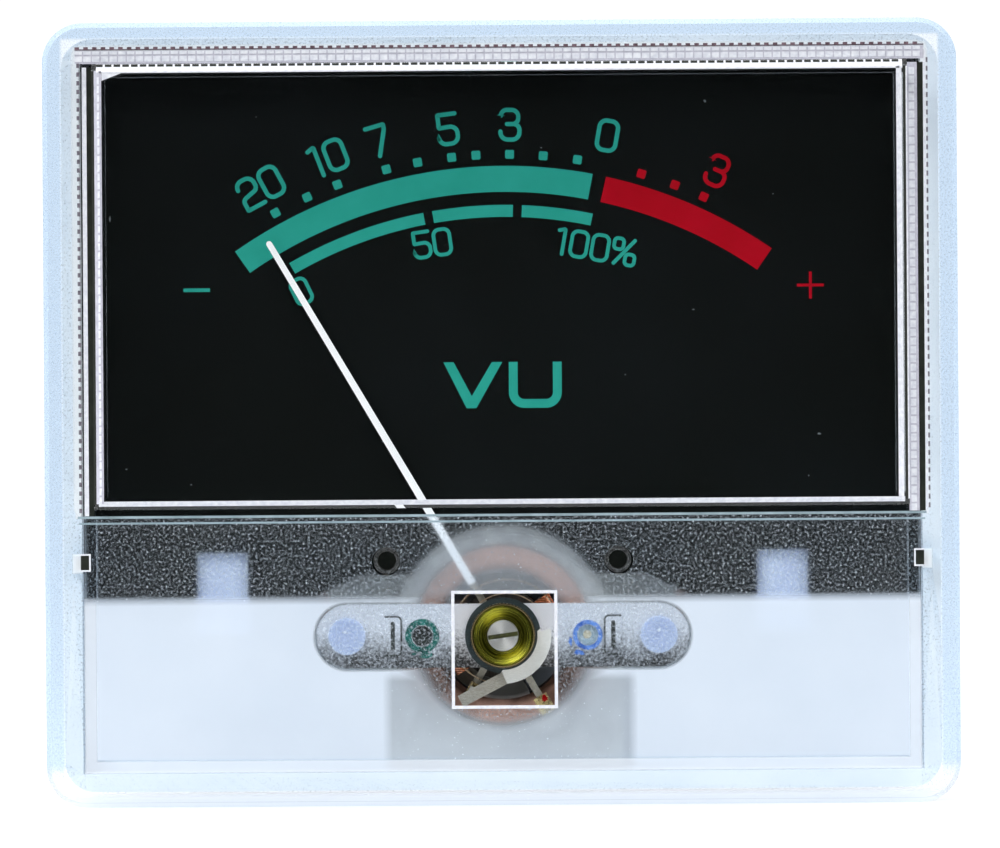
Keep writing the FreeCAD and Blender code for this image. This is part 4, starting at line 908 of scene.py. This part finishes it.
# Finish, side, nearer and farther edge, span, and the length of a rib where it isn't a plain strip
BORDER = (
    ("painted_dot_reflection", "left", 41.84, 42.14, DOT_SPAN, 0.44),
    ("painted_highlight", "left", 41.16, 41.60, RIM_SPAN, 0),
    ("dark_cut_and_painted_shade", "left", 40.64, 41.10, RIM_SPAN, 0),
    ("dark_cut_and_painted_shade", "left", 40.40, 40.60, PANE_SPAN, 0),
    ("painted_lilac_reflection", "left", 39.58, 40.34, PANE_SPAN, 0),
    ("painted_highlight", "left", 39.78, 40.02, PANE_SPAN, 0.70),
    ("painted_highlight", "right", 39.46, 40.02, PANE_SPAN, 0),
    ("dark_cut_and_painted_shade", "right", 40.16, 40.42, PANE_SPAN, 0),
    ("painted_highlight", "right", 40.44, 40.59, PANE_SPAN, 0),
    ("painted_lilac_reflection", "right", 40.61, 41.62, RIM_SPAN, 0),
    ("painted_highlight", "right", 40.80, 41.36, RIM_SPAN, 0.70),
    ("dark_cut_and_painted_shade", "right", 41.68, 42.22, RIM_SPAN, 0),
    ("painted_highlight", "right", 42.26, 42.48, DOT_SPAN, 0),
    ("painted_dot_reflection", "right", 42.52, 42.70, DOT_SPAN, 0.50),
    ("painted_dot_reflection", "top", 58.68, 58.84, RIM_REACH, 0),
    ("painted_mauve_reflection", "top", 58.76, 59.04, RIM_REACH, 0.46),
    ("painted_lilac_reflection", "top", 57.36, 58.64, RIM_REACH, 0),
    ("painted_highlight", "top", 58.28, 58.60, RIM_REACH, 0.74),
    ("painted_highlight", "top", 57.56, 58.12, RIM_REACH, 0.74),
    ("painted_highlight", "top", 56.36, 57.26, PANE_REACH, 0),
    ("dark_cut_and_painted_shade", "top", 57.00, 57.24, PANE_REACH, 0.66),
    ("painted_highlight", "foot", 13.24, 13.74, PANE_REACH, 0),
    ("blue_and_painted_reflection", "foot", 12.02, 12.26, RIM_REACH, 0),
)
# A painted highlight on the window's cut top-left corner
CORNER_FACET = ((-39.55, 55.6), (-37.6, 56.35), (-39.55, 56.35))


def border_strip(side, first, second, start, end, layer=1):
    """Quads of a strip between two distances out, split where the cover's face has a step."""
    pane_front = box("front_cover")[0].y
    pane_end, bevel_end = STEPS[side]
    low, high = min(first, second), max(first, second)
    stops = [low] + sorted(stop for stop in (pane_end, bevel_end) if low < stop < high) + [high]
    quads = []
    for near, far in zip(stops, stops[1:]):
        on_rim = ((near + far) / 2 - bevel_end) * (bevel_end - pane_end) > 0
        corners = []
        for out, place in ((near, start), (far, start), (far, end), (near, end)):
            down_bevel = max(0, (out - pane_end) / (bevel_end - pane_end))
            back = pane_front + (PANE_RISE if on_rim else PANE_BEVEL * down_bevel) - TRIM_LIFT * layer
            upright = (-out if side == "left" else out, back, place)
            corners.append(upright if side in ("left", "right") else (place, back, out))
        quads.append(corners)
    return quads


def border_row(side, first, second, start, end, long):
    """A row of short ribs at the moulding's pitch, over the plain strips."""
    quads = []
    for index in range(int((end - start) / RIB_PITCH)):
        begin = start + index * RIB_PITCH
        quads += border_strip(side, first, second, begin, begin + long, layer=2)
    return quads


def trim_window():
    """Painted reflections in strips and ribs along the window's stepped border, one piece for each finish."""
    shapes = {}
    for finish, side, first, second, span, long in BORDER:
        edges = (side, first, second, *span)
        shapes.setdefault(finish, []).extend(border_row(*edges, long) if long else border_strip(*edges))
    shapes["painted_highlight"] += at_depth([CORNER_FACET], box("front_cover")[0].y - TRIM_LIFT)
    for finish, quads in shapes.items():
        add_piece("window_" + finish, quads, finish)


# Lines of the cover: a painted highlight on the small square's edge, painted shadow in the clip openings
# beside it with painted highlights round them, and the flange's foot line as a painted reflection
LENS_PEN, FOOT_LINE, FOOT_PEN = 0.32, 11.5, 0.2
CLIP_RIGHT, CLIP_UP, CLIP_HALF, CLIP_TALL, CLIP_PEN = 41.75, 7.6, 0.42, 1.45, 0.16


def trim_cover():
    """Painted highlight along the small square's edge, painted shadow in the two clip openings on the flange
    with painted highlights round them, and the foot line as a painted reflection.
    """
    left, right = LENS_SIDES
    low, high = LENS_ENDS
    square = stroke(((left, low), (right, low), (right, high), (left, high)), LENS_PEN, closed=True)
    add_piece("lens_highlight", at_depth(square, -PAINT), "painted_highlight")
    # Painted shadow in the clip openings, and painted highlights round them
    dark, bright = [], []
    low, high = CLIP_UP - CLIP_TALL / 2, CLIP_UP + CLIP_TALL / 2
    line_low, line_high = low - CLIP_PEN / 2, high + CLIP_PEN / 2
    for side in (-1, 1):
        left, right = CLIP_RIGHT * side - CLIP_HALF, CLIP_RIGHT * side + CLIP_HALF
        dark.append([(left, low), (right, low), (right, high), (left, high)])
        inner = side * (CLIP_RIGHT - CLIP_HALF - CLIP_PEN / 2)
        outer = side * (CLIP_RIGHT + CLIP_HALF)
        path = ((outer, line_high), (inner, line_high), (inner, line_low), (outer, line_low))
        bright += stroke(path, CLIP_PEN)
    add_piece("clip_shadows", at_depth(dark, -PAINT), "dark_cut_and_painted_shade")
    add_piece("clip_highlights", at_depth(bright, -PAINT), "painted_highlight")
    foot = stroke(((RIM_REACH[0], FOOT_LINE), (RIM_REACH[1], FOOT_LINE)), FOOT_PEN, round_ends=False)
    add_piece("foot_line", at_depth(foot, -PAINT), "blue_and_painted_reflection")


# Front bridge: its trim holes with their lacquer rings and runs and painted shade in the left one, painted
# glints on the pins, the cut tabs, and painted shade in the dial eyelets' bores
HEAD_TALL, PIT_BACK = 0.5, 0.35
TRIM_LEFT, TRIM_RIGHT, TRIM_HOLE = 8.1, 8.5, 1.05
TRIM_FLOOR = TRIM_HOLE * 0.98
GREEN_RING, BLUE_RING = (TRIM_HOLE + 0.05, 1.72), (TRIM_HOLE + 0.02, 1.50)
GREEN_RUNS = ((-7.7, -1.95, 1.5, 0.55, 14), (-8.9, -1.8, 0.7, 0.4, 10))
BLUE_RUNS = ((7.6, -1.75, 1.3, 0.6, 12), (6.75, -0.6, 0.4, 1.2, 11))
TRIM_DOT = (8.45, 0.05, 0.42)
GLINTS = ((-15.85, 0.45, 0.15, 14), (15.65, 0.45, 0.15, 14))
TAB_RIGHT, TAB_INNER, TAB_OUTER, TAB_HALF, TAB_CORNER, TAB_PEN = 11.05, 10.2, 11.8, 1.95, 0.45, 0.17
TAB_LIFT, TAB_SLOT, TAB_SLOT_PEN = 0.3, 1.25, 0.42
WELL_RADIUS, WELL_DEEP = 0.93, 0.4


def trim_bridge():
    """Lacquer rings round the bridge's two trim holes, what shows in them with painted shade in the left one,
    painted glints on the pins, the tabs' cut lines, and painted shade in the eyelets' bores.
    """
    heads = box("bridge_posts")[0].y
    bar = heads + HEAD_TALL - PAINT
    pit = heads + HEAD_TALL + PIT_BACK
    green = ring_band(-TRIM_LEFT, 0, *GREEN_RING) + [speck(*run) for run in GREEN_RUNS]
    blue = ring_band(TRIM_RIGHT, 0, *BLUE_RING) + [speck(*run) for run in BLUE_RUNS]
    glints = [shape for glint in GLINTS for shape in disc(*glint)]
    cuts, slots, wells = [], [], []
    for side in (-1, 1):
        inner, outer, middle = side * TAB_INNER, side * TAB_OUTER, side * TAB_RIGHT
        corners = [(inner, TAB_HALF, TAB_CORNER), (inner, -TAB_HALF, TAB_CORNER)]
        cuts += stroke(rounded([(outer, TAB_HALF), *corners, (outer, -TAB_HALF)]), TAB_PEN)
        slots += stroke(((middle, TAB_SLOT), (middle, -TAB_SLOT)), TAB_SLOT_PEN)
        wells += disc(side * EYELET_RIGHT, EYELET_UP, WELL_RADIUS)
    for name, shapes, back, finish in (
        ("lacquer_green", green, bar, "lacquer_green"),
        ("lacquer_blue", blue, bar, "lacquer_blue"),
        # Painted shade: a dark disc deep in the left trim hole
        ("trim_pits", disc(-TRIM_LEFT, 0, TRIM_FLOOR), pit, "dark_cut_and_painted_shade"),
        ("trim_well", disc(TRIM_RIGHT, 0, TRIM_FLOOR), pit, "blue_and_painted_reflection"),
        # Painted highlights on the pins' heads
        ("pin_glints", glints, heads - PAINT, "painted_highlight"),
        ("trim_dots", disc(*TRIM_DOT), pit - PAINT, "beige"),
        ("tab_cuts", cuts, bar - TAB_LIFT, "dark_cut_and_painted_shade"),
        ("tab_slots", slots, bar - TAB_LIFT, "dark_cut_and_painted_shade"),
        # Painted shade: dark discs in the eyelets' bores
        ("eyelet_wells", wells, box("dial_eyelets")[1].y - WELL_DEEP, "dark_cut_and_painted_shade"),
    ):
        add_piece(name, at_depth(shapes, back), finish)


SLOT_DEEP, SLOT_WIDE, SLOT_ANGLE, SLOT_INSET = 0.5, 0.43, 8.0, 0.06


def shade_slot():
    """The shadow in the front screw's slot."""
    low, high = box("front_jewel_screw")
    end = Vector(polar(high.x - SLOT_INSET, 90 - SLOT_ANGLE))
    slot = stroke([-end, end], SLOT_WIDE, round_ends=False)
    add_piece("slot_shade", at_depth(slot, low.y + SLOT_DEEP - PAINT), "slot_shade")


WEIGHT_DROP = (4.15, -6.42, 0.75, 0.7, 16)


def mark_weight():
    """A drop of red lacquer on the tail weight, which turns with the pointer."""
    level = box("balance_weights")[0].y - PAINT
    add_piece("lacquer_drop", at_depth([speck(*WEIGHT_DROP)], level), "lacquer_red", body="moving_coil")


# Floor: it ends close in front of the object, so that the flat cover doesn't mirror its edge
FLOOR_SIDE, FLOOR_FRONT, FLOOR_BACK, FLOOR_GAP = 6000.0, -100.0, 8000.0, 0.1
FLOOR_CELLS = 24


def pale_floor():
    """Plain pale floor under the object."""
    build = bmesh.new()
    bmesh.ops.create_grid(build, x_segments=FLOOR_CELLS, y_segments=FLOOR_CELLS, size=1.0)
    for vert in build.verts:
        vert.co.x *= FLOOR_SIDE * MM
        vert.co.y = (FLOOR_FRONT + (vert.co.y + 1) / 2 * (FLOOR_BACK - FLOOR_FRONT)) * MM
    mesh = bpy.data.meshes.new("floor")
    build.to_mesh(mesh)
    build.free()
    finish = Finish("pale_floor", Specular_IOR_Level=0.1)
    here = finish.point()
    colour = tones(noise(here, 600.0), (0.92, 0.92, 0.92), (0.95, 0.95, 0.95))
    mesh.materials.append(finish.dress(colour, spread(noise(here, 50.0), 0.7, 0.85)))
    floor = bpy.data.objects.new("floor", mesh)
    floor.location = (0, 0, cad_low.z - FLOOR_GAP * MM)
    bpy.context.scene.collection.objects.link(floor)


# Studio: the sky's strengths, and where they change along a direction of length 1
SKY_FRONT, SKY_BACK, SKY_TOP = 0.2, 1.12, 0.8
SKY_TURN, SKY_RISE, MIRROR_TURN = (-0.35, 0.0), (0.45, 1.0), (-0.985, -0.86)
SKY_TINT = (0.98, 0.99, 1.0)
# Each lamp has its name, place, size and power
LIGHTS = (("key", (-450, -550, 750), 400, 6.7), ("fill", (600, -500, 350), 400, 2.2))
LIT_POINT = (0, 0, 20)


def studio_sky():
    """Bright behind and above, softer in front, dark only where a flat window would mirror it."""
    world = bpy.data.worlds.new("studio")
    bpy.context.scene.world = world
    world.use_nodes = True
    tree = world.node_tree
    tree.nodes.clear()
    output = tree.nodes.new("ShaderNodeOutputWorld")
    sky = tree.nodes.new("ShaderNodeBackground")
    where = tree.nodes.new("ShaderNodeTexCoord")
    split = tree.nodes.new("ShaderNodeSeparateXYZ")
    path = tree.nodes.new("ShaderNodeLightPath")
    tree.links.new(where.outputs["Generated"], split.inputs["Vector"])
    back, up = Field(tree, split.outputs["Y"]), Field(tree, split.outputs["Z"])
    lit = spread(back, SKY_FRONT, SKY_BACK, *SKY_TURN) + spread(up, 0, SKY_TOP, *SKY_RISE)
    seen = Field(tree, path.outputs["Is Camera Ray"]) * SKY_BACK
    plug(most(lit * rise(back, *MIRROR_TURN), seen), sky.inputs["Strength"])
    plug(SKY_TINT, sky.inputs["Color"])
    tree.links.new(sky.outputs["Background"], output.inputs["Surface"])


def studio_lamps():
    """Two soft square lamps in front."""
    for name, place, size, power in LIGHTS:
        light = bpy.data.lights.new(name, "AREA")
        light.size = size * MM
        light.energy = power
        lamp = bpy.data.objects.new(name, light)
        lamp.location = Vector(place) * MM
        lamp.rotation_mode = "QUATERNION"
        lamp.rotation_quaternion = (Vector(LIT_POINT) - Vector(place)).to_track_quat("-Z", "Y")
        bpy.context.scene.collection.objects.link(lamp)
    bpy.context.scene.view_settings.view_transform = "Standard"


# Camera: the photograph's frame, the pivot's pixel in it, its scale at the flange and its roll
FRAME_WIDE, FRAME_TALL = 1000, 848
PIVOT_PIXEL = (503, 636)
PIXELS_PER_MM = 10.0
CAMERA_AWAY, SENSOR_WIDE, CLIP_END = 900.0, 36.0, 50000.0
ROLL = 0.4


def photo_camera():
    """Straight on, at the photograph's scale where the flange's face is."""
    camera = bpy.data.cameras.new("camera")
    camera.sensor_width = SENSOR_WIDE
    camera.lens = SENSOR_WIDE * CAMERA_AWAY / (FRAME_WIDE / PIXELS_PER_MM)
    camera.clip_end = CLIP_END * MM
    holder = bpy.data.objects.new("camera", camera)
    across = (FRAME_WIDE / 2 - PIVOT_PIXEL[0]) / PIXELS_PER_MM
    up = (PIVOT_PIXEL[1] - FRAME_TALL / 2) / PIXELS_PER_MM
    x, z = turned((across, up), ROLL)
    holder.location = (x * MM, -CAMERA_AWAY * MM, z * MM)
    holder.rotation_euler = (math.radians(90), math.radians(ROLL), 0)
    bpy.context.scene.collection.objects.link(holder)
    bpy.context.scene.camera = holder


random.seed(SEED)
photo_camera()
pale_floor()
studio_sky()
studio_lamps()
dress_nodes()
print_scale()
scatter_dust()
trim_window()
trim_cover()
trim_bridge()
shade_slot()
mark_weight()
